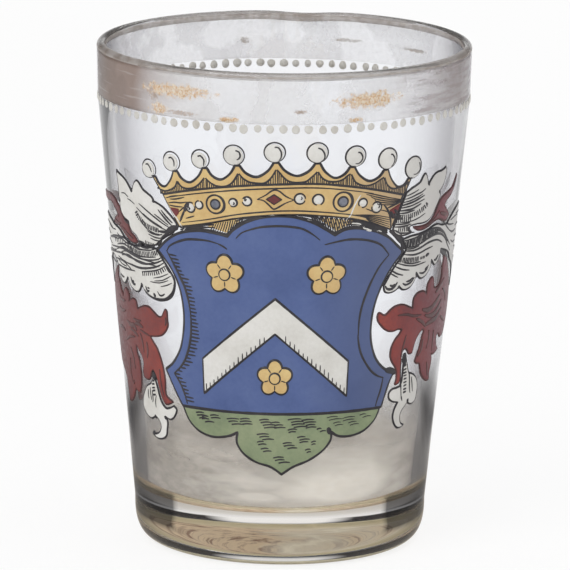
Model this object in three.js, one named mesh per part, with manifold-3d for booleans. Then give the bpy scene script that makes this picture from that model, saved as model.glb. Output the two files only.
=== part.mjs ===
// Enamelled drinking glass: a blown tumbler with a thick base, a worn gilt band and a row of enamel
// beads under the lip, and arms in low relief enamel on the front: coronet, shield and mantling.
// Millimetres, +Z up. The origin is the middle of the foot on the table, and the arms face -Y.

import * as THREE from "three";
import { mergeVertices } from "three/addons/utils/BufferGeometryUtils.js";
import Module from "manifold-3d";

const wasm = await Module();
wasm.setup();

// The blown glass
const HEIGHT = 115;
const RIM_DIAMETER = 85;
const FOOT_DIAMETER = 66.7; // where the rounded foot meets the straight cone
const CONTACT_DIAMETER = 56; // outer edge of the flat ring that stands on the table
const FOOT_HEIGHT = 9.1;
const FOOT_SQUARENESS = 0.74; // 1 is an ellipse, less is squarer
const LIP_HEIGHT = 13.4; // the nearly upright stretch above the cone
const LIP_LEAN = 0.3;
const LIP_ROUND = 1;
const WALL_AT_RIM = 1.9;
const WALL_AT_BASE = 3.4;
const BASE_THICKNESS = 12.3;
const INSIDE_CORNER = 8;
const KICK_DIAMETER = 38;
const KICK_DEPTH = 1.6;
const SIDES = 60;
const FOOT_STEPS = 5;
const LIP_STEPS = 4;
const CORNER_STEPS = 3;

// Gilding, border line and beads
const GILT_TOP_MARGIN = 1.2;
const GILT_WIDTH = 9.7;
const GILT_THICKNESS = 0.15;
const BORDER_GAP = 0.25;
const BORDER_WIDTH = 0.5;
const BEAD_DIAMETER = 2.15;
const BEAD_HEIGHT = 0.45;
const BEAD_PITCH = 2.88;
const BEAD_BITE = 0.25; // how far a bead runs under the border line
const BEAD_SIDES = 6;

// Enamel layers
const ENAMEL_THICKNESS = 0.35;
const SEAT_GAP = 0.05; // between the glass and a layer, and between two layers
const PATCH_GAP = 0.3; // on the sheet, between layers that lie side by side
const PEARL_HEIGHT = 0.9;
const STONE_HEIGHT = 0.6;
const PEARL_SIDES = 12;
const STONE_SIDES = 8;
const OUTLINE_STEP = 2.9; // longest facet of a drawn curve

// The arms are drawn on a sheet: x along the arc of a cylinder of this radius, y upwards. The sheet
// fills the glass from the top of the foot to the middle of the bead row, whatever their heights.
const SHEET_RADIUS = 40;
const SHEET_FOOT = 9.1;
const SHEET_BEADS = 102.3;

// Coronet
const TIP_WIDTH = 1;
const SCALLOP_DEPTH = 2.9;
const PEARL_CLEARANCE = 0.25;
// Pearls on the sheet: x, y, radius, and the direction in degrees from the pearl to its point.
const PEARLS = [
  [-32.5, 90.6, 2.1, -45],
  [-25.7, 93.2, 2.2, -65],
  [-18.3, 94.6, 2.1, -62],
  [-10.6, 96.1, 2.3, -72],
  [-1.8, 97.1, 2.25, -82],
  [7.3, 97, 2.3, -88],
  [15.8, 95.8, 2.35, -107],
  [23.7, 94.6, 2.4, -97],
  [31.2, 91.7, 2.5, -112],
];
const CIRCLET_TOP = [[-28.6, 85.3], [-20, 87.4], [-10, 89.1], [0, 89.9], [9, 89.8], [19, 88.2], [28.9, 85.7]];
const CIRCLET_BOTTOM = [[25.8, 78.1], [17, 81.2], [8, 82.6], [0, 82.9], [-9, 81.9], [-17, 80], [-24.4, 78.4]];
// Gold between the circlet and the shield
const LINING_LEFT = [[[-17.6, 79.5], [-13, 80.8], [-9.2, 81.5]], [[-11, 80]], [[-12.6, 78.2]]];
const LINING_RIGHT = [[[7.6, 82.2], [11, 81.9], [16.6, 80.8]], [[14.2, 79.9]], [[12.2, 78.9]]];
const RUBY = { x: -1.9, y: 86.4, halfWidth: 1.7, halfHeight: 1.15 };
const RUBY_LEFT = [[-26.6, 82.6], [-25.4, 80.2], [-24.2, 81.6], [-24.3, 82.6]];
const RUBY_RIGHT = [[25, 82.7], [26, 80.6], [27.4, 82.4], [27.9, 83.9]];
const SEED_PEARLS = [
  [-21.1, 83.3, 1.1],
  [-18.9, 84.1, 0.9],
  [-10.9, 85.3, 0.9],
  [-7.8, 85.8, 1],
  [3.7, 86.6, 1.15],
  [7.7, 86.3, 1.2],
  [18, 85, 1],
  [21.5, 83.7, 1.2],
];
const SAPPHIRES = { left: [-15, 84.6, 2.1], right: [13.3, 85.6, 2.2] };
const SAPPHIRE_STONE = 0.45; // the stone's share of its ring

const SHIELD_SPLIT = 36.6; // where the field ends and the ground begins

// Charge: a chevron between three roses
const CHEVRON = { x: -1.5, apex: 63.5, halfSpan: 18, drop: 15, width: 8.2 };
const ROSES = [
  [-13.2, 68.6, 4.6],
  [10.2, 68.6, 4.6],
  [-1.5, 45, 4.3],
];
const ROSE_PETALS = 5;
const ROSE_STEPS_PER_PETAL = 6;
const ROSE_NOTCH = 0.3;
const ROSE_SEED_RADIUS = 1.3;

const ENAMELS = {
  glass: { color: 0xd3dadb, roughness: 0.05, metalness: 0 },
  gilding: { color: 0xb9a39a, roughness: 0.45, metalness: 0.3 },
  beads: { color: 0xc9cbc4, roughness: 0.3, metalness: 0 },
  white: { color: 0xded9d2, roughness: 0.4, metalness: 0 },
  gold: { color: 0xdcb062, roughness: 0.45, metalness: 0 },
  blue: { color: 0x58689b, roughness: 0.35, metalness: 0 },
  red: { color: 0xa0443e, roughness: 0.35, metalness: 0 },
  green: { color: 0x889670, roughness: 0.35, metalness: 0 },
};

const model = new THREE.Group();
const neckHeight = HEIGHT - LIP_HEIGHT;
const rimRadius = RIM_DIAMETER / 2;
const neckRadius = rimRadius - LIP_LEAN;
const footRadius = FOOT_DIAMETER / 2;
const contactRadius = CONTACT_DIAMETER / 2;
const giltTop = HEIGHT - GILT_TOP_MARGIN;
const giltBottom = giltTop - GILT_WIDTH;
const borderTop = giltBottom - BORDER_GAP;
const borderBottom = borderTop - BORDER_WIDTH;
const beadMiddle = borderBottom + BEAD_BITE - BEAD_DIAMETER / 2;

// Outside radius of the glass above its foot.
function outerRadius(height) {
  if (height > neckHeight) {
    return neckRadius + (LIP_LEAN * (height - neckHeight)) / (HEIGHT - LIP_ROUND - neckHeight);
  }
  return footRadius + ((neckRadius - footRadius) * (height - FOOT_HEIGHT)) / (neckHeight - FOOT_HEIGHT);
}

function add(name, enamel, geometry) {
  const mesh = new THREE.Mesh(geometry, new THREE.MeshStandardMaterial(ENAMELS[enamel]));
  mesh.name = name;
  model.add(mesh);
  return mesh;
}

function solidOf(geometry) {
  geometry.deleteAttribute("normal");
  geometry.deleteAttribute("uv");
  const merged = mergeVertices(geometry, 1e-5);
  return new wasm.Manifold(
    new wasm.Mesh({
      numProp: 3,
      vertProperties: merged.attributes.position.array,
      triVerts: new Uint32Array(merged.index.array),
    }),
  );
}

function geometryOf(solid) {
  const mesh = solid.getMesh();
  return new THREE.BufferGeometry()
    .setAttribute("position", new THREE.BufferAttribute(mesh.vertProperties, 3))
    .setIndex(new THREE.BufferAttribute(mesh.triVerts, 1));
}

// A revolved solid about +Z, with corners of its sides at the front, back, left and right.
function revolve(profile, sides) {
  const points = profile.map(([radius, height]) => new THREE.Vector2(radius, height));
  return new THREE.LatheGeometry(points, sides).rotateX(Math.PI / 2);
}

function bodyProfile() {
  const profile = [[0, KICK_DEPTH], [KICK_DIAMETER / 4, KICK_DEPTH * 0.75], [KICK_DIAMETER / 2, 0]];
  for (let i = 0; i <= FOOT_STEPS; i += 1) {
    const angle = (i / FOOT_STEPS) * (Math.PI / 2);
    profile.push([
      contactRadius + (footRadius - contactRadius) * Math.sin(angle) ** FOOT_SQUARENESS,
      FOOT_HEIGHT * (1 - Math.cos(angle) ** FOOT_SQUARENESS),
    ]);
  }
  profile.push([neckRadius, neckHeight]);
  for (let i = 0; i <= LIP_STEPS; i += 1) {
    const angle = (i / LIP_STEPS) * Math.PI;
    profile.push([
      rimRadius - (WALL_AT_RIM / 2) * (1 - Math.cos(angle)),
      HEIGHT - LIP_ROUND * (1 - Math.sin(angle)),
    ]);
  }
  const cornerTop = BASE_THICKNESS + INSIDE_CORNER;
  const insideRadius = outerRadius(cornerTop) - WALL_AT_BASE;
  for (let i = 0; i <= CORNER_STEPS; i += 1) {
    const angle = (i / CORNER_STEPS) * (Math.PI / 2);
    profile.push([
      insideRadius - INSIDE_CORNER * (1 - Math.cos(angle)),
      cornerTop - INSIDE_CORNER * Math.sin(angle),
    ]);
  }
  profile.push([0, BASE_THICKNESS]);
  return profile;
}

// A ring that follows the outside of the glass between two heights and two distances from it.
function wrap(near, far, low, high) {
  const heights = [low, neckHeight, high].filter((height) => height >= low && height <= high);
  const outside = heights.map((height) => [outerRadius(height) + far, height]);
  const inside = heights.map((height) => [outerRadius(height) + near, height]).reverse();
  return solidOf(revolve([...outside, ...inside, outside[0]], SIDES));
}

const layerStart = (layer) => SEAT_GAP + (layer - 1) * (ENAMEL_THICKNESS + SEAT_GAP);
const layerShells = [1, 2].map((layer) =>
  wrap(layerStart(layer), layerStart(layer) + ENAMEL_THICKNESS, FOOT_HEIGHT, neckHeight),
);

const sheetScaleY = (beadMiddle - FOOT_HEIGHT) / (SHEET_BEADS - SHEET_FOOT);
const heightOf = (y) => FOOT_HEIGHT + (y - SHEET_FOOT) * sheetScaleY;
const angleOf = (x) => x / SHEET_RADIUS;
const sheetScaleAt = (y) => Math.min(sheetScaleY, outerRadius(heightOf(y)) / SHEET_RADIUS);

// A closed line on the sheet. Each stretch is a smooth curve from its first point to the first point
// of the next stretch, so the stretches meet in corners.
function outline(...stretches) {
  return stretches.flatMap((stretch, i) => {
    const corner = stretches[(i + 1) % stretches.length][0];
    const curve = new THREE.SplineCurve([...stretch, corner].map(([x, y]) => new THREE.Vector2(x, y)));
    const steps = stretch.length === 1 ? 1 : Math.max(2, Math.ceil(curve.getLength() / OUTLINE_STEP));
    return curve.getSpacedPoints(steps).slice(0, -1).map((point) => [point.x, point.y]);
  });
}

// Stretches for a curve that ends in a corner of its own.
const toCorner = (curve) => [curve.slice(0, -1), [curve.at(-1)]];

// The part of a layer inside a line on the sheet.
function patchSolid(line, layer = 1) {
  const angles = line.map(([x]) => angleOf(x));
  const middle = (Math.min(...angles) + Math.max(...angles)) / 2;
  const seen = line.map(([x, y]) => {
    const height = heightOf(y);
    return new THREE.Vector2(outerRadius(height) * Math.sin(angleOf(x) - middle), height);
  });
  const cutter = new THREE.ExtrudeGeometry(new THREE.Shape(seen), {
    depth: 2 * rimRadius,
    bevelEnabled: false,
  });
  cutter.rotateX(Math.PI / 2).rotateZ(middle);
  return layerShells[layer - 1].intersect(solidOf(cutter));
}

const addPatch = (name, enamel, line, layer) => add(name, enamel, geometryOf(patchSolid(line, layer)));

// Turns a solid that stands on its own z = 0 so that it stands on the glass at a point of the sheet.
const seat = (object, x, y, lift) => seatAt(object, angleOf(x), heightOf(y), lift);

function seatAt(object, angle, height, lift) {
  const slope = Math.atan((outerRadius(height + 1) - outerRadius(height - 1)) / 2);
  const normal = new THREE.Vector3(
    Math.sin(angle) * Math.cos(slope),
    -Math.cos(angle) * Math.cos(slope),
    -Math.sin(slope),
  );
  const radius = outerRadius(height);
  object.position.set(radius * Math.sin(angle), -radius * Math.cos(angle), height);
  object.position.addScaledVector(normal, lift);
  object.quaternion.setFromUnitVectors(new THREE.Vector3(0, 0, 1), normal);
}

// A drop of enamel that has run into a low dome.
function dropProfile(radius, height) {
  return [[0, 0], [radius, 0], [radius * 0.9, height * 0.5], [radius * 0.55, height * 0.88], [0, height]];
}

function addDrop(name, enamel, [x, y, radius], height, sides, layer = 1) {
  const geometry = revolve(dropProfile(radius * sheetScaleAt(y), height), sides);
  seat(add(name, enamel, geometry), x, y, layerStart(layer));
}

function addBeadRow() {
  const profile = dropProfile(BEAD_DIAMETER / 2, BEAD_HEIGHT);
  profile.splice(3, 1);
  const count = 4 * Math.round((2 * Math.PI * outerRadius(beadMiddle)) / BEAD_PITCH / 4);
  const bead = new THREE.Object3D();
  let row = wrap(SEAT_GAP, SEAT_GAP + ENAMEL_THICKNESS, borderBottom, borderTop);
  for (let i = 0; i < count; i += 1) {
    seatAt(bead, (i / count) * 2 * Math.PI, beadMiddle, SEAT_GAP);
    bead.updateMatrix();
    row = row.add(solidOf(revolve(profile, BEAD_SIDES).applyMatrix4(bead.matrix)));
  }
  add("bead_row", "beads", geometryOf(row));
}

// The points under the pearls, as the left and right corner of each.
function coronetTips() {
  return PEARLS.map(([x, y, radius, degrees]) => {
    const reach = radius + PEARL_CLEARANCE;
    const angle = THREE.MathUtils.degToRad(degrees);
    const [tipX, tipY] = [x + reach * Math.cos(angle), y + reach * Math.sin(angle)];
    return [[tipX - TIP_WIDTH / 2, tipY], [tipX + TIP_WIDTH / 2, tipY]];
  });
}

// The hollow curve from one point of the coronet down and up to the next.
function scallop([x0, y0], [x1, y1]) {
  const at = (share, depth) => [x0 + (x1 - x0) * share, y0 + (y1 - y0) * share - depth * SCALLOP_DEPTH];
  return [[x0, y0], at(0.18, 0.62), at(0.5, 1), at(0.82, 0.62)];
}

function addCirclet() {
  addPatch("coronet_circlet", "gold", outline(...toCorner(CIRCLET_TOP), ...toCorner(CIRCLET_BOTTOM)));
}

// The gold above the circlet: a point under each pearl and a scallop between two points.
function addCrest() {
  const tips = coronetTips();
  const scallops = tips.slice(1).map(([left], i) => scallop(tips[i][1], left));
  const edge = tips.flatMap(([left, right], i) => [[left], scallops[i] ?? [right]]);
  const seam = CIRCLET_TOP.map(([x, y]) => [x, y + PATCH_GAP]).reverse();
  addPatch("coronet_crest", "gold", outline(...edge, ...toCorner(seam)));
}

function addCoronet() {
  addCirclet();
  addCrest();
  PEARLS.forEach((pearl, i) => {
    addDrop(`coronet_pearl_${i + 1}`, "white", pearl, PEARL_HEIGHT, PEARL_SIDES);
  });
  SEED_PEARLS.forEach((pearl, i) => {
    addDrop(`coronet_seed_pearl_${i + 1}`, "white", pearl, STONE_HEIGHT, STONE_SIDES, 2);
  });
  addRubies();
  addSapphires();
  addPatch("coronet_lining_left", "gold", outline(...LINING_LEFT));
  addPatch("coronet_lining_right", "gold", outline(...LINING_RIGHT));
}

function addRubies() {
  const { x, y, halfWidth, halfHeight } = RUBY;
  const lozenge = [[x - halfWidth, y], [x, y - halfHeight], [x + halfWidth, y], [x, y + halfHeight]];
  addPatch("coronet_ruby", "red", lozenge, 2);
  addPatch("coronet_ruby_left", "red", RUBY_LEFT, 2);
  addPatch("coronet_ruby_right", "red", RUBY_RIGHT, 2);
}

// A round stone in a raised ring.
function addSapphires() {
  for (const [side, [x, y, radius]] of Object.entries(SAPPHIRES)) {
    const ring = radius * sheetScaleAt(y);
    const stone = ring * SAPPHIRE_STONE;
    const ringHeight = STONE_HEIGHT / 2;
    const profile = [
      [0, 0],
      [ring, 0],
      [ring, ringHeight],
      [stone, ringHeight],
      [stone * 0.8, STONE_HEIGHT * 0.85],
      [0, STONE_HEIGHT],
    ];
    seat(add(`coronet_sapphire_${side}`, "blue", revolve(profile, PEARL_SIDES)), x, y, layerStart(2));
  }
}

function addShield() {
  const field = outline(
    [[-12.4, 77.4], [-11, 79], [-8, 81], [-4.5, 82.2], [-1, 82.6], [3, 82.3], [7, 80.9], [10, 79.2]],
    [[11.8, 78], [14, 79.1], [17, 79.3], [21, 78.4], [25, 76.6], [28, 74.2]],
    [[30.2, 72.4], [27.4, 69.8], [24.8, 66], [22.9, 61.4], [22.2, 57], [22.5, 52.5], [24.2, 48.3],
     [27, 45.6]],
    [[30.3, 44.2], [29.2, 42.4], [28.2, 40]],
    [[27, SHIELD_SPLIT + PATCH_GAP]],
    [[-26.2, SHIELD_SPLIT + PATCH_GAP], [-28, 39.2], [-29.8, 42.2]],
    [[-31.1, 44.4], [-28.5, 46.3], [-26, 49.9], [-24.7, 54.5], [-24.4, 59], [-25.2, 64], [-27.4, 68.3]],
    [[-31.2, 72.2], [-28.2, 74.8], [-24.5, 76.9], [-19.5, 78.1], [-15, 77.9]],
  );
  const ground = outline(
    [[-26.1, SHIELD_SPLIT - PATCH_GAP]],
    [[26.6, SHIELD_SPLIT - PATCH_GAP], [25.2, 33.9], [22.2, 31.7], [18.5, 30.8], [15, 31]],
    [[12.9, 32.2], [12.9, 30.2], [10.9, 27.8], [7.4, 25.7], [3.4, 24.2]],
    [[0.4, 22.4], [-2.4, 24.1], [-6.3, 25.2], [-9.4, 27], [-11.1, 29.4]],
    [[-10.9, 31.9], [-13.5, 30.8], [-17.5, 30.3], [-21.4, 31.2], [-24.3, 33.3]],
  );
  addPatch("shield_field", "blue", field);
  addPatch("shield_ground", "green", ground);
}

function addCharge() {
  const { x, apex, halfSpan, drop, width } = CHEVRON;
  const chevron = [
    [x, apex],
    [x - halfSpan, apex - drop],
    [x - halfSpan, apex - drop - width],
    [x, apex - width],
    [x + halfSpan, apex - drop - width],
    [x + halfSpan, apex - drop],
  ];
  addPatch("charge_chevron", "white", chevron, 2);
  ROSES.forEach((rose, i) => addRose(`charge_rose_${i + 1}`, rose));
}

// Petals round a raised seed.
function addRose(name, [x, y, radius]) {
  const steps = ROSE_PETALS * ROSE_STEPS_PER_PETAL;
  const line = Array.from({ length: steps }, (_, i) => {
    const angle = (i / steps) * 2 * Math.PI;
    const reach = radius * (1 - ROSE_NOTCH * (1 - Math.abs(Math.cos((angle * ROSE_PETALS) / 2))));
    return [x + reach * Math.sin(angle), y + reach * Math.cos(angle)];
  });
  const seed = new THREE.Object3D();
  seat(seed, x, y, layerStart(2));
  seed.updateMatrix();
  const seedProfile = dropProfile(ROSE_SEED_RADIUS * sheetScaleAt(y), ENAMEL_THICKNESS + STONE_HEIGHT / 2);
  const seedSolid = solidOf(revolve(seedProfile, STONE_SIDES).applyMatrix4(seed.matrix));
  add(name, "gold", geometryOf(patchSolid(line, 2).add(seedSolid)));
}

function addLeftMantling() {
  addPatch("mantling_left_leaf", "white", outline(
    [[-25, 78.9], [-26.1, 80.1], [-27.4, 81.2], [-28.9, 82.3], [-30.4, 82.9]],
    [[-31.6, 83.2], [-32.2, 84.1], [-33.7, 84.8], [-35, 85.4], [-35.9, 86.3], [-36.7, 87], [-37.5, 87],
     [-38.5, 86]],
    [[-39.4, 84.2], [-40.5, 85.3], [-42, 86.5], [-44, 87.2]],
    [[-46.2, 87.8], [-45.9, 85], [-45.8, 82], [-45.5, 79.2], [-44.6, 77.9], [-43.3, 77.2]],
    [[-41.8, 76.9], [-41.4, 75.6], [-40.3, 74.7], [-38.9, 74.1]],
    [[-37.9, 73.1], [-36, 72.7], [-33.8, 72.7]],
    [[-31.6, 73.2], [-30.2, 74.4], [-28.4, 75.6], [-26.2, 76.9]],
  ));
  addPatch("mantling_left_ribbon", "red", outline(
    [[-38.5, 72.7], [-39.4, 73.6], [-40.8, 74.2], [-41.8, 75.2]],
    [[-42.3, 76.5], [-43.8, 76.9], [-45, 77.8], [-46, 79.2], [-47.6, 80.2], [-49.4, 81.1], [-52, 81.4],
     [-56, 81]],
    [[-62, 80.4]],
    [[-62, 79.3], [-56, 79.2], [-52.5, 79.6], [-50.4, 79.2], [-48.6, 78.3]],
    [[-47.7, 77.4], [-49, 76.8], [-50, 76.2]],
    [[-50.9, 75.2], [-49.4, 74.9], [-47.8, 74.9], [-46.2, 74.4], [-44, 73.4], [-42, 72.5], [-40.2, 72.1]],
  ));
  addPatch("mantling_left_scroll", "white", outline(
    [[-31.7, 72.2], [-33.6, 72.2], [-36, 72.1], [-38.4, 71.8], [-40.4, 71.5], [-42.6, 71.8],
     [-44.8, 72.7], [-47, 73.9], [-49, 74.3]],
    [[-50.9, 74.5], [-54, 75.2], [-60, 75.6]],
    [[-65.6, 74.6], [-67.2, 70], [-65.5, 64], [-63, 58.5], [-60.6, 63.2], [-56.6, 66.6], [-53, 66.6]],
    [[-50, 65], [-49.7, 63.1], [-48.6, 62], [-46.8, 61.6]],
    [[-44.7, 63.4], [-43.9, 62.1], [-42.9, 61.3], [-41.1, 60.8], [-39.4, 61.2]],
    [[-38.1, 63], [-37.4, 61.9], [-36.3, 61], [-34.2, 60.4], [-32.1, 60.4], [-29.7, 60.9], [-27.9, 62.1],
     [-26.8, 63.8], [-26.7, 65.8], [-28, 67.8], [-29.7, 69.8]],
  ));
  addPatch("mantling_left_foliage", "red", outline(
    [[-45.3, 57.7], [-44.2, 58.3], [-42.8, 58.8], [-41.4, 58.4]],
    [[-41, 56.7], [-39.7, 57.3], [-37.8, 58], [-35.8, 58], [-34.2, 57.2], [-32.7, 56.4], [-31.6, 56.5]],
    [[-30.9, 57.5], [-30.2, 58.4], [-29.6, 58], [-29.6, 56], [-29.6, 54.6], [-30.8, 52.9], [-32.5, 51.9],
     [-35, 51.4]],
    [[-36.3, 51.2], [-35.3, 50.1], [-33.9, 48.7], [-32.8, 46.6], [-32.1, 44.4], [-31.7, 41.6],
     [-31.8, 39], [-31.3, 37.8]],
    [[-29.4, 36.9], [-30.8, 36.2], [-32.2, 36], [-33.3, 37.3], [-34.2, 39.6], [-35, 42.1]],
    [[-36, 43.4], [-36.9, 42.6], [-37.6, 41.1], [-38.8, 40.6], [-40.2, 41], [-40.6, 42.5], [-40.1, 44.4],
     [-41.1, 46.2]],
    [[-43.2, 47.8], [-43.2, 46.4], [-42.2, 44.6], [-41.8, 41.8], [-42, 39]],
    [[-43, 36.9], [-44.2, 36.7]],
    [[-45.4, 37.2], [-46.2, 36.4], [-47.4, 34.8], [-49.2, 33.7]],
    [[-51, 33.2], [-51.6, 36], [-52.6, 39]],
    [[-57.4, 41.6], [-59.6, 47], [-60.4, 53], [-58.6, 58], [-55, 62.4]],
    [[-51.2, 64.9], [-51.6, 62.6], [-50.9, 60.6], [-50, 59.3]],
    [[-48.8, 58.2], [-47.9, 60], [-46.7, 60.5], [-45.6, 60], [-45, 58.8]],
  ));
  addPatch("mantling_left_tassel", "white", outline(
    [[-36, 42.4], [-36.7, 41], [-37.6, 39.9], [-39.4, 39], [-40.7, 37.5], [-41.7, 35.6], [-41.8, 33.8],
     [-40.4, 32.2], [-38.3, 31.6]],
    [[-36.4, 32.5], [-35.2, 31.8], [-34.4, 30.6], [-34.9, 29.3], [-36.2, 28.4]],
    [[-38.4, 28], [-36.4, 27.3], [-34.2, 27.5], [-32.6, 28.5], [-32.1, 30.2], [-31.8, 31.6]],
    [[-32.1, 32.9], [-30.6, 32.6], [-29.2, 33.5], [-28.3, 35.2]],
    [[-29.2, 36], [-30.6, 35.3], [-32.2, 35.1], [-33.8, 36.6], [-34.8, 39.4]],
  ));
}

function addRightMantling() {
  addPatch("mantling_right_leaf", "white", outline(
    [[26.5, 78.4], [27.7, 81.5], [29, 84.6]],
    [[29.6, 86], [31, 86.8], [32.6, 87.4], [33.8, 88], [34.6, 89.2], [35.3, 89.7], [36, 89]],
    [[36.9, 87], [37.6, 87.9], [38.6, 88.8], [40, 89.3], [42, 89.4]],
    [[43.7, 89.9], [44.2, 88.9], [43.9, 87.2], [43.2, 85.9]],
    [[42, 84.8], [42.3, 83.6], [42, 82.8], [40.8, 81.2], [39.6, 79.6], [38, 78.5], [36, 78.2],
     [34, 78.3]],
    [[31.8, 78.2], [31.5, 77.4]],
    [[32.4, 76.5], [30.2, 76.2], [28.2, 76.4], [26.8, 77.3]],
  ));
  addPatch("mantling_right_ribbon", "red", outline(
    [[32.8, 77.7], [34.6, 77.5], [36.6, 77.5], [38.4, 77.9], [40, 79], [41.2, 80.7], [42.4, 82.3],
     [43.8, 83.1], [46.4, 83.7], [49, 84.5]],
    [[51.4, 86.9], [50.8, 85], [49.6, 83.6], [48, 82.4], [46.2, 81.8]],
    [[45, 80.8], [46.2, 79.9]],
    [[48.2, 78.3], [47.2, 77], [45.2, 77.2], [43.2, 77.9], [41.2, 77.9], [39, 77.2], [36.8, 76.7],
     [34.6, 76.8]],
  ));
  addPatch("mantling_right_scroll", "white", outline(
    [[29.4, 75.2], [32, 75.7], [35, 75.8], [38, 76.2], [40.4, 76.8], [42.4, 76.9], [44.6, 76.3]],
    [[47.8, 76], [50, 77.2], [54, 78.4], [60, 78.8]],
    [[65.6, 77], [67.2, 71], [65.4, 64], [63, 58.5], [60.4, 62.4], [56.4, 65.2], [53.6, 66.6],
     [51.4, 68.6], [48.4, 69.8]],
    [[45.4, 70.6], [45.3, 69.2], [44.3, 67.9], [42.9, 67.3]],
    [[41.3, 68.7], [41, 67.2], [39.8, 65.9], [38.3, 65.2], [36.8, 65.3]],
    [[35.4, 66.6], [35, 65.2], [33.8, 63.9], [32.3, 63.4], [30.9, 63.5]],
    [[29.8, 64.3], [28.3, 63.5], [26.6, 63.3], [25.4, 63.8]],
    [[25, 65.1], [26.5, 67.5], [28.1, 69.6], [30.9, 72.7]],
  ));
  addPatch("mantling_right_foliage", "red", outline(
    [[23.8, 58], [24.1, 58.9], [24.9, 58.7], [25.7, 58.2], [26.5, 58.4], [27.6, 59.2], [28.8, 59.8],
     [30.4, 60], [32, 59.8], [33.7, 59.1]],
    [[35.2, 58.5], [35.1, 59.9], [35.4, 61], [36.3, 61.7], [37.7, 62], [39.2, 61.8], [40, 61.4]],
    [[40.5, 60.9], [40.5, 62.9], [41.5, 64.2], [42.7, 64.5], [43.5, 63.8]],
    [[43.9, 61.9], [45.6, 61.6], [47.2, 62.2], [48.2, 63.8], [47.9, 66]],
    [[48.4, 68.5], [50.4, 67.6], [52.4, 65.4], [55, 62.4], [57.8, 58.6], [58.8, 54], [57, 50.4],
     [54.4, 48.8]],
    [[52, 48.8], [50.2, 50], [48.9, 49.4], [49.5, 47.6]],
    [[51.2, 46.2], [49.2, 45.6], [47.4, 45.6]],
    [[46.5, 46], [47, 44.8], [46.9, 43.2], [46.4, 41.6]],
    [[46.7, 39.8], [45.1, 39.9], [43.2, 40.8], [41.5, 42.3], [40.8, 43.8]],
    [[40.3, 44.8], [38.8, 45.1]],
    [[38.1, 45.7], [38.8, 47.2], [39.7, 48.9], [40.3, 50.9]],
    [[41, 52.3], [40.1, 52.7], [38.9, 52], [37.8, 50.9], [37.1, 49.3]],
    [[36.6, 47.8], [35.3, 47.9], [34.4, 48.9], [33.6, 49.3], [32.9, 48.7], [32.6, 46.8], [32.6, 44.6],
     [32.8, 42.6]],
    [[32.5, 41.5], [31.6, 41.2]],
    [[31.1, 41.4], [31.4, 42.9], [31, 44.9], [29.4, 46.9], [28.7, 48.4], [28.9, 50.4], [30, 52.1],
     [31.2, 53.1]],
    [[31.9, 54.1], [30.6, 54.3], [29.4, 54.1], [27.9, 54.2], [26.4, 54.8], [25.1, 55.9], [24.1, 57]],
  ));
  addPatch("mantling_right_tassel", "white", outline(
    [[34, 47.9], [33.6, 46], [33.6, 43.6], [33.5, 41.8]],
    [[33, 40.6], [31.6, 40.4], [30.3, 40.3], [29.3, 39.5], [29.4, 38.3], [30.6, 37.4]],
    [[32.7, 36.9], [31.7, 35.5], [31.3, 33.7], [32, 32], [33.2, 30.9], [34.5, 30.7]],
    [[36, 31.1], [34.6, 31.7], [34, 33.2], [34.3, 34.4], [35.4, 35.4]],
    [[36.6, 36.3], [37.5, 35.8], [38.8, 35.7], [40, 36.5], [40.5, 38.8], [39.9, 41], [38.8, 42.1],
     [37.6, 42.8]],
    [[36, 43.3], [35.2, 45.2], [34.6, 46.8]],
  ));
}

add("glass_body", "glass", revolve(bodyProfile(), SIDES));
add("gilt_rim_band", "gilding", geometryOf(wrap(SEAT_GAP, SEAT_GAP + GILT_THICKNESS, giltBottom, giltTop)));
addBeadRow();
addCoronet();
addShield();
addCharge();
addLeftMantling();
addRightMantling();

export default model;
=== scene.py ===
import math
import random
from functools import cached_property

import bpy
import numpy as np
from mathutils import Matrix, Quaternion, Vector, noise
from mathutils.geometry import delaunay_2d_cdt


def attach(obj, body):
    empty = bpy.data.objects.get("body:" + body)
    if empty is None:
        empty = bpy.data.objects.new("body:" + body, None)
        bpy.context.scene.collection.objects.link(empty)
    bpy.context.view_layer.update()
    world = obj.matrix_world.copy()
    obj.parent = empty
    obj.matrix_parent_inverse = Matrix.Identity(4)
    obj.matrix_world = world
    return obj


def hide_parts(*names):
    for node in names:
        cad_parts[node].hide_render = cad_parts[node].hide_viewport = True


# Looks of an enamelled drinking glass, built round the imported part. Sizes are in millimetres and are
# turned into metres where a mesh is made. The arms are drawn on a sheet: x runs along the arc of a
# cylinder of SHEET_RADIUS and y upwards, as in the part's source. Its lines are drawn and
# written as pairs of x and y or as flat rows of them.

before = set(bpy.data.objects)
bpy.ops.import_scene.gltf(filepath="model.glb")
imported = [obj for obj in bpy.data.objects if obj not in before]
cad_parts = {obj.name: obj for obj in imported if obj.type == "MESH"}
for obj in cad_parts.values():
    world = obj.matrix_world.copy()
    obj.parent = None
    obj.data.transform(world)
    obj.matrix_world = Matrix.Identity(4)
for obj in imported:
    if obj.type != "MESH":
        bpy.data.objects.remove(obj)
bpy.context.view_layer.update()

MM = 0.001
draw = random.Random(11)

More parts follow.
